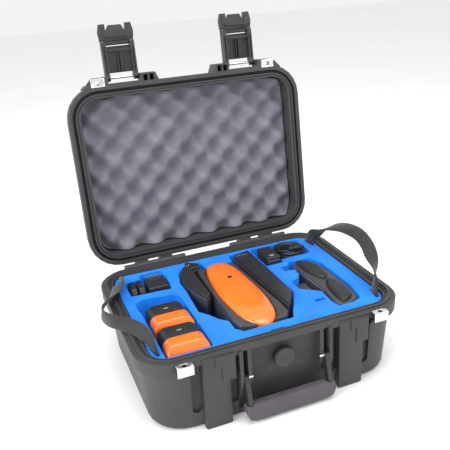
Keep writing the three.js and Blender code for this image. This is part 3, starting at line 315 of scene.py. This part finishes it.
def mottled(name, dark, light, patch, grain, depth, rough, spread=0.06, contrast=1.0, **shader):
    """A finish whose tone drifts between two colours over patches, with a fine grain. Sizes in millimetres."""
    material = bpy.data.materials.new(name)
    material.use_nodes = True
    tree = material.node_tree
    surface = tree.nodes["Principled BSDF"]
    place = add(tree, "ShaderNodeTexCoord").outputs["Object"]
    drift = add(tree, "ShaderNodeTexNoise", {"Vector": place, "Scale": 1 / (patch * MM), "Detail": 4.0})
    fine = add(tree, "ShaderNodeTexNoise", {"Vector": place, "Scale": 1 / (grain * MM), "Detail": 3.0})
    tone = add(tree, "ShaderNodeMapRange", {
        "Value": drift.outputs["Fac"], "From Min": 0.5 - 0.25 / contrast, "From Max": 0.5 + 0.25 / contrast})
    colour = add(tree, "ShaderNodeMix", {
        MIX_FACTOR: tone.outputs["Result"], MIX_A: linear(dark), MIX_B: linear(light)}, data_type="RGBA")
    gloss = add(tree, "ShaderNodeMapRange", {
        "Value": fine.outputs["Fac"], "From Min": 0.3, "From Max": 0.7,
        "To Min": rough - spread, "To Max": rough + spread})
    bump = add(tree, "ShaderNodeBump", {
        "Height": fine.outputs["Fac"], "Distance": depth * MM, "Strength": 1.0})
    tree.links.new(colour.outputs[MIX_OUT], surface.inputs["Base Color"])
    tree.links.new(gloss.outputs["Result"], surface.inputs["Roughness"])
    tree.links.new(bump.outputs["Normal"], surface.inputs["Normal"])
    for socket, value in shader.items():
        surface.inputs[socket.replace("_", " ")].default_value = value
    return material


def moulded_polypropylene():
    """Injection-moulded black polypropylene: a charcoal skin, spark-eroded to an even leathery grain."""
    return mottled("moulded_polypropylene", "#343335", "#3d3c3e", 60, 1.1, 0.10, 0.52, IOR=1.49)


def glass_filled_nylon():
    """Black glass-filled nylon: harder and a little glossier than the shell, with fine flow marks."""
    return mottled("glass_filled_nylon", "#262627", "#303031", 25, 0.7, 0.06, 0.42, IOR=1.53)


def overmoulded_rubber():
    """Thermoplastic rubber moulded over the handle: soft, matt and slightly purple grey."""
    return mottled("overmoulded_rubber", "#454147", "#544f55", 30, 0.9, 0.12, 0.66, IOR=1.5)


def gasket_rubber():
    """Extruded silicone rubber cord: near black with a faint bloom."""
    return mottled("gasket_rubber", "#17171a", "#242427", 12, 0.6, 0.05, 0.58, IOR=1.41)


def polished_stainless():
    """Stamped stainless steel: bright, with faint rolling lines along the strip."""
    material = mottled("polished_stainless", "#d9d8d5", "#f4f3f1", 10, 0.5, 0.01, 0.24, spread=0.05, Metallic=1.0)
    tree = material.node_tree
    place = add(tree, "ShaderNodeTexCoord").outputs["Object"]
    stretch = add(tree, "ShaderNodeMapping", {"Vector": place, "Scale": (40, 900, 900)})
    lines = add(tree, "ShaderNodeTexNoise", {"Vector": stretch.outputs["Vector"], "Scale": 1.0, "Detail": 2.0})
    bump = add(tree, "ShaderNodeBump", {"Height": lines.outputs["Fac"], "Distance": 0.01 * MM, "Strength": 0.6})
    tree.links.new(bump.outputs["Normal"], tree.nodes["Principled BSDF"].inputs["Normal"])
    return material


def foam_finish(name, dark, light, patch, cell, depth, rough):
    """Plastic foam: a dry, soft surface of small broken cells. Sizes in millimetres."""
    material = mottled(name, dark, light, patch, cell * 2.2, depth * 0.7, rough, spread=0.03, IOR=1.3)
    tree = material.node_tree
    place = add(tree, "ShaderNodeTexCoord").outputs["Object"]
    cells = add(tree, "ShaderNodeTexVoronoi", {"Vector": place, "Scale": 1 / (cell * MM)}, feature="F1")
    bump = add(tree, "ShaderNodeBump", {
        "Height": cells.outputs["Distance"], "Distance": depth * MM, "Strength": 0.7,
        "Normal": tree.nodes["Bump"].outputs["Normal"]})
    tree.links.new(bump.outputs["Normal"], tree.nodes["Principled BSDF"].inputs["Normal"])
    tree.nodes["Principled BSDF"].inputs["Sheen Weight"].default_value = 0.12
    return material


def egg_crate_foam():
    """Open-cell polyurethane foam, cut in a wave: mid grey with a violet cast, cells drawn 1.2 mm wide to show."""
    return foam_finish("egg_crate_foam", "#6a6872", "#83818b", 35, 1.2, 0.5, 0.95)


def blue_polyethylene_foam():
    """Closed-cell polyethylene foam, cut by a water jet: saturated blue with a faint tight grain."""
    return foam_finish("blue_polyethylene_foam", "#0872dc", "#1286f2", 45, 0.8, 0.16, 0.72)


def black_polyethylene_foam():
    """The same foam in black, for the pad under the tray."""
    return foam_finish("black_polyethylene_foam", "#1c1c1e", "#2a2a2d", 30, 0.8, 0.18, 0.85)


def woven_webbing():
    """Black polypropylene webbing: flat yarns about 1.1 mm apart, in a plain weave that follows the band."""
    material = mottled("woven_webbing", "#161617", "#232324", 8, 0.5, 0.03, 0.7, IOR=1.49)
    tree = material.node_tree
    across = add(tree, "ShaderNodeUVMap", uv_map="band")
    warp = add(tree, "ShaderNodeTexWave", {
        "Vector": across.outputs["UV"], "Scale": 290.0, "Distortion": 0.0}, bands_direction="X")
    weft = add(tree, "ShaderNodeTexWave", {
        "Vector": across.outputs["UV"], "Scale": 290.0, "Distortion": 0.0}, bands_direction="Y")
    weave = add(tree, "ShaderNodeMath", {0: warp.outputs["Fac"], 1: weft.outputs["Fac"]}, operation="MULTIPLY")
    bump = add(tree, "ShaderNodeBump", {"Height": weave.outputs[0], "Distance": 0.25 * MM, "Strength": 0.9})
    tree.links.new(bump.outputs["Normal"], tree.nodes["Principled BSDF"].inputs["Normal"])
    tree.nodes["Principled BSDF"].inputs["Sheen Weight"].default_value = 0.25
    return material


def lacquered_orange():
    """Painted ABS under clear lacquer: a strong orange with a wet highlight."""
    return mottled("lacquered_orange", "#fb6c0c", "#ff7c1e", 70, 2.5, 0.004, 0.30, spread=0.03,
                   IOR=1.5, Coat_Weight=0.8, Coat_Roughness=0.08)


def matt_grey_polycarbonate():
    """Fine-etched grey polycarbonate of the drone's body and the controller."""
    return mottled("matt_grey_polycarbonate", "#35363a", "#424347", 30, 0.6, 0.05, 0.46, IOR=1.58)


def black_abs():
    """Black ABS mouldings of the batteries, charger and propellers: plain, slightly satin."""
    return mottled("black_abs", "#1d1e21", "#292a2e", 22, 0.6, 0.04, 0.38, IOR=1.53)


def moulded_grip_rubber():
    """Soft black rubber with a tight moulded texture, on the controller's grips."""
    return mottled("moulded_grip_rubber", "#1a1b1e", "#26272b", 14, 0.8, 0.10, 0.5, IOR=1.5)


def pvc_cable_sheath():
    """Soft black PVC: smooth, with a slight skin gloss."""
    return mottled("pvc_cable_sheath", "#141416", "#1f1f22", 10, 0.6, 0.02, 0.4, IOR=1.53)


def grey_band_and_painted_highlight():
    """Bare light-grey polycarbonate on the controller's bevelled edge, the battery marks and the charger's lamp;
    on the charger's front the same grey is a painted highlight of the brick's top edge.
    """
    return mottled("grey_band_and_painted_highlight", "#77787c", "#8a8b8f", 12, 0.5, 0.02, 0.36, IOR=1.58)


def white_floor():
    """A white painted sweep, matt."""
    return mottled("white_floor", "#f4f4f4", "#f8f8f8", 300, 4, 0.01, 0.85)


# ---------- charger and its lead ----------
CABLE = 4.0
COIL_WIDE = 3
COIL_LAYERS = 4
POINTS_PER_TURN = 28
COIL_LOW, COIL_HIGH = box_mm("charger_coil")
PLUG_LOW, PLUG_HIGH = box_mm("charger_plug")
LEAD_LOW, LEAD_HIGH = box_mm("charger_lead")


def coil_radius(ring, layer):
    """Rings run inwards on even layers and outwards on odd ones."""
    outer = (COIL_HIGH.x - COIL_LOW.x) / 2 - CABLE / 2
    steps_in = ring if layer % 2 == 0 else COIL_WIDE - 1 - ring
    return outer - steps_in * CABLE


def lead_path():
    centre = (COIL_LOW + COIL_HIGH) / 2
    lead = (LEAD_LOW + LEAD_HIGH) / 2
    exit_x = box_mm("charger_gland")[1].x
    points = [Vector((exit_x + step, lead.y, lead.z)) for step in range(0, round(centre.x - exit_x) - 3, 4)]
    turns = COIL_WIDE * COIL_LAYERS
    stop = turns * POINTS_PER_TURN - POINTS_PER_TURN // 4
    for index in range(stop + 1):
        turn = index / POINTS_PER_TURN
        whole = min(int(turn), turns - 1)
        share = turn - whole
        layer, ring = divmod(whole, COIL_WIDE)
        next_layer, next_ring = divmod(min(whole + 1, turns - 1), COIL_WIDE)
        ease = max(0.0, (share - 0.7) / 0.3)
        ease = ease * ease * (3 - 2 * ease)
        radius = coil_radius(ring, layer) * (1 - ease) + coil_radius(next_ring, next_layer) * ease
        height = COIL_LOW.z + CABLE / 2 + CABLE * (layer + (next_layer - layer) * ease)
        angle = math.pi * (2 * turn - 0.5)
        points.append(Vector((
            centre.x + radius * math.cos(angle), centre.y + radius * math.sin(angle), height)))
    plug_y = (PLUG_LOW.y + PLUG_HIGH.y) / 2
    plug_z = (PLUG_LOW.z + PLUG_HIGH.z) / 2
    start = points[-1]
    reach = centre.y - plug_y
    sweep_turns = 12
    for step in range(1, sweep_turns + 1):
        share = step / sweep_turns
        ease = share * share * (3 - 2 * share)
        angle = math.pi * (1 + share * 0.42)
        radius = coil_radius(COIL_WIDE - 1, COIL_LAYERS - 1) * (1 - ease) + reach * 1.04 * ease
        rise = min(1.0, share * 2.2)
        height = start.z * (1 - rise) + (COIL_HIGH.z + CABLE / 2 + 0.5) * rise
        points.append(Vector((centre.x + radius * math.cos(angle), centre.y + radius * math.sin(angle), height)))
    points.append(Vector((PLUG_LOW.x - 2.5, plug_y, plug_z - 0.4)))
    points.append(Vector((PLUG_LOW.x + 1.0, plug_y, plug_z)))
    return points


def charger(finishes):
    path = [point * MM for point in lead_path()]
    curve = bpy.data.curves.new("charger_cable", "CURVE")
    curve.dimensions = "3D"
    curve.bevel_depth = CABLE / 2 * MM
    curve.bevel_resolution = 3
    curve.use_fill_caps = True
    line = curve.splines.new("POLY")
    line.points.add(len(path) - 1)
    for point, place in zip(line.points, path):
        point.co = (*place, 1)
    cable = bpy.data.objects.new("charger_cable", curve)
    bpy.context.collection.objects.link(cable)
    low, high = box_mm("charger_plug")
    middle = (low + high) / 2
    thick = (high.z - low.z) / 2
    plug_parts = [
        cylinder("plug_boot", (low.x + 5, middle.y, middle.z), thick * 0.72, 10, "x", 24),
        cylinder("plug_body", ((low.x + 9 + high.x - 8) / 2, middle.y, middle.z), thick - 0.1, high.x - low.x - 17, "x", 24),
        cylinder("plug_tip", (high.x - 4.6, middle.y, middle.z), thick * 0.55, 9, "x", 24),
    ]
    for part in plug_parts:
        rounded(part, 0.5)
    plug = joined("charger_plug_finished", plug_parts)
    fit(plug, "charger", finishes["grip"], "grip_rubber", "charger_plug")
    fit(cable, "charger", finishes["cable"], "cable_sheath", "charger_lead", "charger_coil", "charger_lead_tail")

    gland = copy_of("charger_gland")
    rounded(gland, 0.5)
    fit(gland, "charger", finishes["seal"], "seal_rubber", "charger_gland")
    brick = copy_of("charger_brick")
    rounded(brick, 2.2, 4)
    fit(brick, "charger", finishes["abs"], "dark_plastic", "charger_brick")
    low, high = box_mm("charger_brick")
    # A light-grey strip across the brick's front just under its top: a painted highlight of the glossy top edge,
    # not a part of its own.
    painted_edge_highlight = block("charger_painted_edge_highlight", (low.x + 2.4, low.y - 0.15, high.z - 7), (high.x - 2.4, low.y + 0.6, high.z - 6))
    rounded(painted_edge_highlight, 0.2)
    fit(painted_edge_highlight, "charger", finishes["band"], "drone_plastic")
    lid = block("charger_lamp", (low.x + 9, low.y + 6, high.z - 0.3), (high.x - 9, low.y + 12, high.z + 0.4))
    rounded(lid, 0.3)
    fit(lid, "charger", finishes["band"], "drone_plastic")


# ---------- shells ----------
def shells(finishes):
    for node, body in (("base_shell", "base"), ("lid_shell", "lid")):
        shell = copy_of(node)
        rounded(shell, 0.6)
        fit(shell, body, finishes["shell"], "shell_plastic", node)
    gasket = copy_of("lid_gasket")
    rounded(gasket, 1.2, 3)
    fit(gasket, "lid", finishes["seal"], "seal_rubber", "lid_gasket")


def valve(finishes):
    for node, material, slot in (
            ("valve_stem", "nylon", "latch_plastic"),
            ("valve_o_ring", "seal", "seal_rubber")):
        piece = copy_of(node)
        rounded(piece, 0.4)
        fit(piece, "base", finishes[material], slot, node)
    low, high = box_mm("valve_cap")
    middle = (low + high) / 2
    radius = (high.x - low.x) / 2
    bpy.ops.object.select_all(action="DESELECT")
    bpy.ops.mesh.primitive_cylinder_add(
        vertices=64, radius=radius * MM, depth=(high.y - low.y - 0.1) * MM,
        location=Vector((middle.x, middle.y + 0.05, middle.z)) * MM, rotation=(math.pi / 2, 0, 0))
    cap = take_name(bpy.context.object, "valve_cap_finished")
    settle(cap)
    front = cap.data.polygons
    edit_all(cap)
    bpy.ops.mesh.select_all(action="DESELECT")
    leave_edit()
    for face in front:
        face.select = face.normal.y < -0.9
    bpy.ops.object.mode_set(mode="EDIT")
    bpy.ops.mesh.select_mode(type="FACE")
    for step, depth in ((2.0, 0), (0.6, 0.7), (9.0, 0), (0.5, -0.5)):
        bpy.ops.mesh.inset(thickness=step * MM, depth=-depth * MM)
    leave_edit()
    rounded(cap, 0.35, 2, 20)
    fit(cap, "base", finishes["shell"], "shell_plastic", "valve_cap")


def steel(finishes):
    small = [f"{kind}_{side}" for kind in ("hinge_pin", "handle_pin") for side in SIDES]
    plates = [f"lock_plate_{shell}_{side}" for shell in ("base", "lid") for side in SIDES]
    for node in small + plates:
        piece = copy_of(node)
        rounded(piece, 0.35)
        fit(piece, "lid" if "lid" in node else "base", finishes["steel"], "stainless", node)
    for side in SIDES:
        for node, body in ((f"latch_pin_{side}", "lid"), (f"lever_pin_{side}", f"latch_{side}")):
            pin = copy_of(node)
            rounded(pin, 0.3)
            fit(pin, body, finishes["steel"], "stainless", node)


def latches(finishes):
    for side in SIDES:
        for node, body in ((f"latch_body_{side}", f"latch_{side}"), (f"latch_lever_{side}", f"lever_{side}")):
            piece = copy_of(node)
            rounded(piece, 0.45)
            fit(piece, body, finishes["nylon"], "latch_plastic", node)


def handle(finishes):
    core = copy_of("handle_core")
    rounded(core, 1.0, 3)
    fit(core, "handle", finishes["nylon"], "latch_plastic", "handle_core")
    grip = copy_of("handle_grip")
    modify(grip, "REMESH", mode="VOXEL", voxel_size=1.1 * MM)
    modify(grip, "SMOOTH", factor=0.5, iterations=14)
    shade(grip, 60)
    fit(grip, "handle", finishes["rubber"], "handle_rubber", "handle_grip")


# ---------- foam ----------
WAVE = 54.0
WAVE_DEPTH = 20.0
CREST_BELOW = 0.4
GRID_STEP = 2.6


def egg_crate(finishes):
    """The lid's foam: a wave-cut face over a flat back, with square-cut sides."""
    low, high = shut_box_mm("lid_foam")
    width, depth = high.x - low.x, high.y - low.y
    corner = 28.0
    bpy.ops.object.select_all(action="DESELECT")
    bpy.ops.mesh.primitive_grid_add(
        x_subdivisions=round(width / GRID_STEP), y_subdivisions=round(depth / GRID_STEP), size=1)
    foam = take_name(bpy.context.object, "lid_foam_wave")
    for vertex in foam.data.vertices:
        y = vertex.co.y * depth
        past = max(0.0, abs(y) - (depth / 2 - corner))
        half = width / 2 - corner + math.sqrt(max(0.0, corner ** 2 - past ** 2))
        x = vertex.co.x * 2 * half
        wave = math.cos(2 * math.pi * (x + 9) / WAVE) * math.cos(2 * math.pi * (y - 4) / WAVE)
        rounded_wave = math.copysign(abs(wave) ** 0.85, wave)
        vertex.co = Vector((x, y, low.z + CREST_BELOW + WAVE_DEPTH * (1 - rounded_wave) / 2))
    edit_all(foam)
    bpy.ops.mesh.select_all(action="DESELECT")
    bpy.ops.mesh.select_mode(type="EDGE")
    bpy.ops.mesh.select_non_manifold()
    bpy.ops.mesh.extrude_region_move(TRANSFORM_OT_translate={"value": (0, 0, 0)})
    leave_edit()
    for vertex in foam.data.vertices:
        if vertex.select:
            vertex.co.z = high.z
    edit_all(foam)
    bpy.ops.mesh.select_all(action="DESELECT")
    bpy.ops.mesh.select_non_manifold()
    bpy.ops.mesh.edge_face_add()
    bpy.ops.mesh.select_all(action="SELECT")
    bpy.ops.mesh.normals_make_consistent(inside=False)
    leave_edit()
    for vertex in foam.data.vertices:
        vertex.co = OPEN_LID @ (vertex.co * MM)
    shade(foam, 50)
    fit(foam, "lid", finishes["egg_crate"], "egg_crate_foam", "lid_foam")


def tray(finishes):
    foam = copy_of("tray_foam")
    rounded(foam, 0.9, 2)
    fit(foam, "tray", finishes["blue_foam"], "blue_foam", "tray_foam")
    pad = copy_of("base_foam_pad")
    rounded(pad, 1.2, 2)
    fit(pad, "base", finishes["black_foam"], "black_foam", "base_foam_pad")


# ---------- lift straps ----------
# Stations along each strap: distance out from its slots, y, height above the foam, tilt in degrees, and how
# far the band's width is turned from the X axis towards the Y axis.
STANDING_STRAP = [
    (0, 106, -12, 0, 78), (0, 106, 4, 0, 78), (5, 97, 20, 2, 60), (13, 74, 38, 12, 20), (20, 45, 52, 27, 0),
    (24, 15, 60, 36, 0), (27, -18, 61, 44, 0), (24, -48, 55, 40, -10), (17, -74, 43, 20, -34),
    (8, -97, 25, 4, -62), (0, -110, 4, 0, -78), (0, -110, -12, 0, -78),
]
FALLEN_STRAP = [
    (0, 106, -12, 0, 78), (0, 106, 4, 0, 78), (4, 88, 13, 4, 50), (21, 55, 12, 28, 10), (41, 24, 16, 60, 0),
    (51, -4, 18, 84, 0), (44, -30, 19, 78, 0), (26, -50, 19, 60, -10), (12, -70, 18, 40, -34),
    (4, -92, 15, 16, -62), (0, -110, 4, 0, -78), (0, -110, -12, 0, -78),
]
STRAP_WIDTH = 22.0
STRAP_THICK = 1.5
STRAP_SLOT_INSET = 8.0
STRAP_STEPS = 120


def webbing(name, stations, side, finishes):
    """A woven band with rounded selvedges. Its UV map, named band, runs across and along it in metres."""
    slot_x = (FOAM_HIGH.x - STRAP_SLOT_INSET) * side
    rows = []
    for out, y, up, tilt, slant in flow(stations, STRAP_STEPS):
        rows.append((Vector((slot_x + side * out, y, FOAM_TOP + up)), math.radians(tilt), math.radians(slant)))
    half, thick = STRAP_WIDTH / 2, STRAP_THICK / 2
    edge = thick * 0.6
    section = [(-half, 0), (-half + edge, -thick), (0, -thick), (half - edge, -thick),
               (half, 0), (half - edge, thick), (0, thick), (-half + edge, thick)]
    around = len(section)
    mesh = bmesh.new()
    band = mesh.loops.layers.uv.new("band")
    rings = []
    travelled = [0.0]
    for index, (point, tilt, slant) in enumerate(rows):
        before, after = rows[max(index - 1, 0)][0], rows[min(index + 1, len(rows) - 1)][0]
        along = (after - before).normalized()
        if index:
            travelled.append(travelled[-1] + (point - rows[index - 1][0]).length)
        level = Vector((math.cos(slant), -side * math.sin(slant), 0))
        wide = level * math.cos(tilt) + Vector((0, 0, math.sin(tilt)))
        wide = (wide - along * wide.dot(along)).normalized()
        face = along.cross(wide).normalized()
        rings.append([mesh.verts.new((point + wide * a + face * b) * MM) for a, b in section])
    for index in range(len(rings) - 1):
        for corner in range(around):
            follow = (corner + 1) % around
            quad = (rings[index][corner], rings[index][follow], rings[index + 1][follow], rings[index + 1][corner])
            made = mesh.faces.new(quad)
            made.smooth = True
            spots = ((corner, index), (follow, index), (follow, index + 1), (corner, index + 1))
            for loop, (place, row) in zip(made.loops, spots):
                loop[band].uv = (section[place][0] * MM, travelled[row] * MM)
    mesh.faces.new(rings[0][::-1])
    mesh.faces.new(rings[-1])
    bmesh.ops.recalc_face_normals(mesh, faces=mesh.faces)
    data = bpy.data.meshes.new(name)
    mesh.to_mesh(data)
    strap = bpy.data.objects.new(name, data)
    bpy.context.collection.objects.link(strap)
    node = "lift_strap_left" if side < 0 else "lift_strap_right"
    fit(strap, "tray", finishes["webbing"], "webbing", node)
    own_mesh(strap)


# ---------- folded drone ----------
# Stations along the cover from tail to nose: y, left edge, right edge, crown above the foam.
COVER = [
    (91, -29, 6, 7.5), (87, -33, 9, 10), (62, -39, 16, 13), (30, -43, 19, 14), (-10, -45, 21.5, 14),
    (-50, -43, 22, 12.5), (-84, -38, 18, 9), (-102, -30, 11, 5), (-111, -20, 2, 1.5), (-115, -10, -7, -1.5),
]
COVER_EDGE = -2.0
COVER_SKIRT = -13.5
COVER_ROWS = 56
COVER_ACROSS = 40
CROWN_SHAPE = 0.72


def cover_rows():
    return flow(COVER, COVER_ROWS)


def drone_cover(finishes):
    bpy.ops.object.select_all(action="DESELECT")
    bpy.ops.mesh.primitive_grid_add(x_subdivisions=COVER_ACROSS, y_subdivisions=COVER_ROWS - 1, size=1)
    cover = take_name(bpy.context.object, "drone_cover_finished")
    rows = cover_rows()
    for vertex in cover.data.vertices:
        y, left, right, crown = rows[round((0.5 - vertex.co.y) * (COVER_ROWS - 1))]
        turn = math.pi * (vertex.co.x + 0.5)
        sweep, lift = -math.cos(turn), math.sin(turn)
        reach = math.copysign(abs(sweep) ** CROWN_SHAPE, sweep)
        x = (left + right) / 2 + (right - left) / 2 * reach
        z = COVER_EDGE + (crown - COVER_EDGE) * max(lift, 0.0) ** CROWN_SHAPE
        vertex.co = Vector((x, y, FOAM_TOP + z)) * MM
    edit_all(cover)
    bpy.ops.mesh.select_all(action="DESELECT")
    bpy.ops.mesh.select_mode(type="EDGE")
    bpy.ops.mesh.select_non_manifold()
    bpy.ops.mesh.extrude_region_move(TRANSFORM_OT_translate={"value": (0, 0, 0)})
    leave_edit()
    for vertex in cover.data.vertices:
        if vertex.select:
            vertex.co.z = (FOAM_TOP + COVER_SKIRT) * MM
    edit_all(cover)
    bpy.ops.mesh.select_all(action="DESELECT")
    bpy.ops.mesh.select_non_manifold()
    bpy.ops.mesh.edge_face_add()
    bpy.ops.mesh.select_all(action="SELECT")
    bpy.ops.mesh.normals_make_consistent(inside=False)
    leave_edit()
    shade(cover, 46)
    fit(cover, "drone", finishes["orange"], "orange_gloss", "drone_cover")
    button = cylinder("drone_cover_button", (-13, 24, FOAM_TOP + 14.0), 4.2, 1.2, "z", 36)
    rounded(button, 0.5, 3)
    fit(button, "drone", finishes["abs"], "dark_plastic")


def drone(finishes):
    drone_cover(finishes)
    body = copy_of("drone_body")
    rounded(body, 2.2, 3, 40)
    fit(body, "drone", finishes["grey"], "drone_plastic", "drone_body")
    for side in SIDES:
        arm = copy_of(f"drone_arm_{side}")
        rounded(arm, 1.6, 3, 25)
        fit(arm, "drone", finishes["grey"], "drone_plastic", f"drone_arm_{side}")
        propeller = copy_of(f"drone_propeller_{side}")
        rounded(propeller, 1.5, 3, 25)
        fit(propeller, "drone", finishes["abs"], "dark_plastic", f"drone_propeller_{side}")
        low, high = box_mm(f"drone_propeller_{side}")
        tips = []
        for index in range(5):
            x = low.x + (high.x - low.x) * 0.42 + (index - 2) * 4.4
            tips.append(cylinder(f"tip_{index}", (x, high.y - 14, high.z + 0.2), 1.2, 1.6, "z", 16))
        row = joined(f"propeller_tips_{side}", tips)
        rounded(row, 0.3)
        fit(row, "drone", finishes["steel"], "stainless")


# ---------- batteries ----------
def batteries(finishes):
    for name in ("front", "rear"):
        cap = copy_of(f"battery_cap_{name}")
        rounded(cap, 3.0, 5, 40)
        fit(cap, f"battery_{name}", finishes["orange"], "orange_gloss", f"battery_cap_{name}")
        body = copy_of(f"battery_body_{name}")
        rounded(body, 1.4, 3, 40)
        fit(body, f"battery_{name}", finishes["abs"], "dark_plastic", f"battery_body_{name}")
        low, high = box_mm(f"battery_body_{name}")
        middle = (low.x + high.x) / 2
        mark_y = high.y - 16
        mark = block(
            f"battery_button_{name}", (middle - 4, mark_y - 1.6, high.z - 0.6), (middle + 4, mark_y + 1.6, high.z + 0.5))
        rounded(mark, 0.5, 3)
        fit(mark, f"battery_{name}", finishes["band"], "drone_plastic")


# ---------- controller ----------
CONTROLLER_PLAN = [
    (120, 46), (144, 44), (156, 20), (160, -20), (160, -70), (155, -104), (140, -112), (120, -112), (115, -100),
    (119, -60), (118, -20), (114, 20),
]
GRIP_PLANS = {
    "rear": [(122, 41), (139, 39), (149, 12), (147, -22), (136, -29), (124, 0)],
    "front": [(138, -37), (149, -45), (153, -70), (149, -97), (138, -107), (125, -107), (127, -62)],
}
GRIP_RINGS = ((0.0, 1.0), (2.6, 1.0), (4.2, 0.93), (5.2, 0.78), (5.6, 0.5))


def domed(name, outline, low, rings):
    """A low dome over an outline: rings of (height, share of the outline), in millimetres."""
    middle = Vector((sum(x for x, _ in outline), sum(y for _, y in outline))) / len(outline)
    mesh = bmesh.new()
    made = []
    for height, share in rings:
        made.append([
            mesh.verts.new(Vector((
                middle.x + (x - middle.x) * share, middle.y + (y - middle.y) * share, low + height)) * MM)
            for x, y in outline])
    for lower, upper in zip(made, made[1:]):
        for index in range(len(outline)):
            follow = (index + 1) % len(outline)
            mesh.faces.new((lower[index], lower[follow], upper[follow], upper[index]))
    mesh.faces.new(made[0][::-1])
    mesh.faces.new(made[-1])
    bmesh.ops.recalc_face_normals(mesh, faces=mesh.faces)
    data = bpy.data.meshes.new(name)
    mesh.to_mesh(data)
    obj = bpy.data.objects.new(name, data)
    bpy.context.collection.objects.link(obj)
    return obj


def controller(finishes):
    low, high = box_mm("controller_body")
    body = plate("controller_body_finished", outline_through(CONTROLLER_PLAN, 96), low.z, high.z)
    rounded(body, 2.4, 3, 40)
    fit(body, "controller", finishes["grey"], "drone_plastic", "controller_body")
    top = plate("controller_edge_band", outline_through(CONTROLLER_PLAN, 96), high.z - 4.5, high.z - 3.2)
    modify(top, "DISPLACE", strength=0.25 * MM, mid_level=0)
    shade(top)
    fit(top, "controller", finishes["band"], "drone_plastic")
    for name, plan in GRIP_PLANS.items():
        grip_low, _ = box_mm(f"controller_grip_{name}")
        grip = domed(f"controller_grip_{name}_finished", outline_through(plan, 64), grip_low.z, GRIP_RINGS)
        shade(grip, 60)
        fit(grip, "controller", finishes["grip"], "grip_rubber", f"controller_grip_{name}")
    bracket = copy_of("controller_bracket")
    rounded(bracket, 1.2, 3)
    fit(bracket, "controller", finishes["grey"], "drone_plastic", "controller_bracket")


# ---------- spares ----------
def spares(finishes):
    hub = copy_of("charging_hub")
    rounded(hub, 1.8, 3)
    fit(hub, "hub", finishes["abs"], "dark_plastic", "charging_hub")
    low, high = box_mm("hub_contacts")
    pins = []
    count = 6
    for index in range(count):
        x = low.x + (high.x - low.x) * (index + 0.5) / count
        pins.append(block(f"pin_{index}", (x - 1.3, low.y, low.z), (x + 1.3, high.y, high.z)))
    contacts = joined("hub_contacts_finished", pins)
    rounded(contacts, 0.4)
    fit(contacts, "hub", finishes["steel"], "stainless", "hub_contacts")
    for number in (1, 2):
        blade = copy_of(f"spare_propeller_{number}")
        rounded(blade, 2.0, 3)
        fit(blade, "spare_propellers", finishes["abs"], "dark_plastic", f"spare_propeller_{number}")


# ---------- the scene ----------
def main():
    aim_camera()
    finishes = {
        "shell": moulded_polypropylene(),
        "nylon": glass_filled_nylon(),
        "rubber": overmoulded_rubber(),
        "seal": gasket_rubber(),
        "steel": polished_stainless(),
        "egg_crate": egg_crate_foam(),
        "blue_foam": blue_polyethylene_foam(),
        "black_foam": black_polyethylene_foam(),
        "webbing": woven_webbing(),
        "orange": lacquered_orange(),
        "grey": matt_grey_polycarbonate(),
        "abs": black_abs(),
        "grip": moulded_grip_rubber(),
        "cable": pvc_cable_sheath(),
        "band": grey_band_and_painted_highlight(),
    }
    charger(finishes)
    shells(finishes)
    valve(finishes)
    steel(finishes)
    latches(finishes)
    handle(finishes)
    egg_crate(finishes)
    tray(finishes)
    webbing("lift_strap_standing", STANDING_STRAP, SIDES["right"], finishes)
    webbing("lift_strap_fallen", FALLEN_STRAP, SIDES["left"], finishes)
    drone(finishes)
    batteries(finishes)
    controller(finishes)
    spares(finishes)
    bpy.ops.object.select_all(action="DESELECT")
    bpy.ops.mesh.primitive_plane_add(size=2 * FLOOR_HALF, location=(0, 0, 0))
    floor = take_name(bpy.context.object, "floor")
    floor.data.materials.append(white_floor())
    studio()


main()
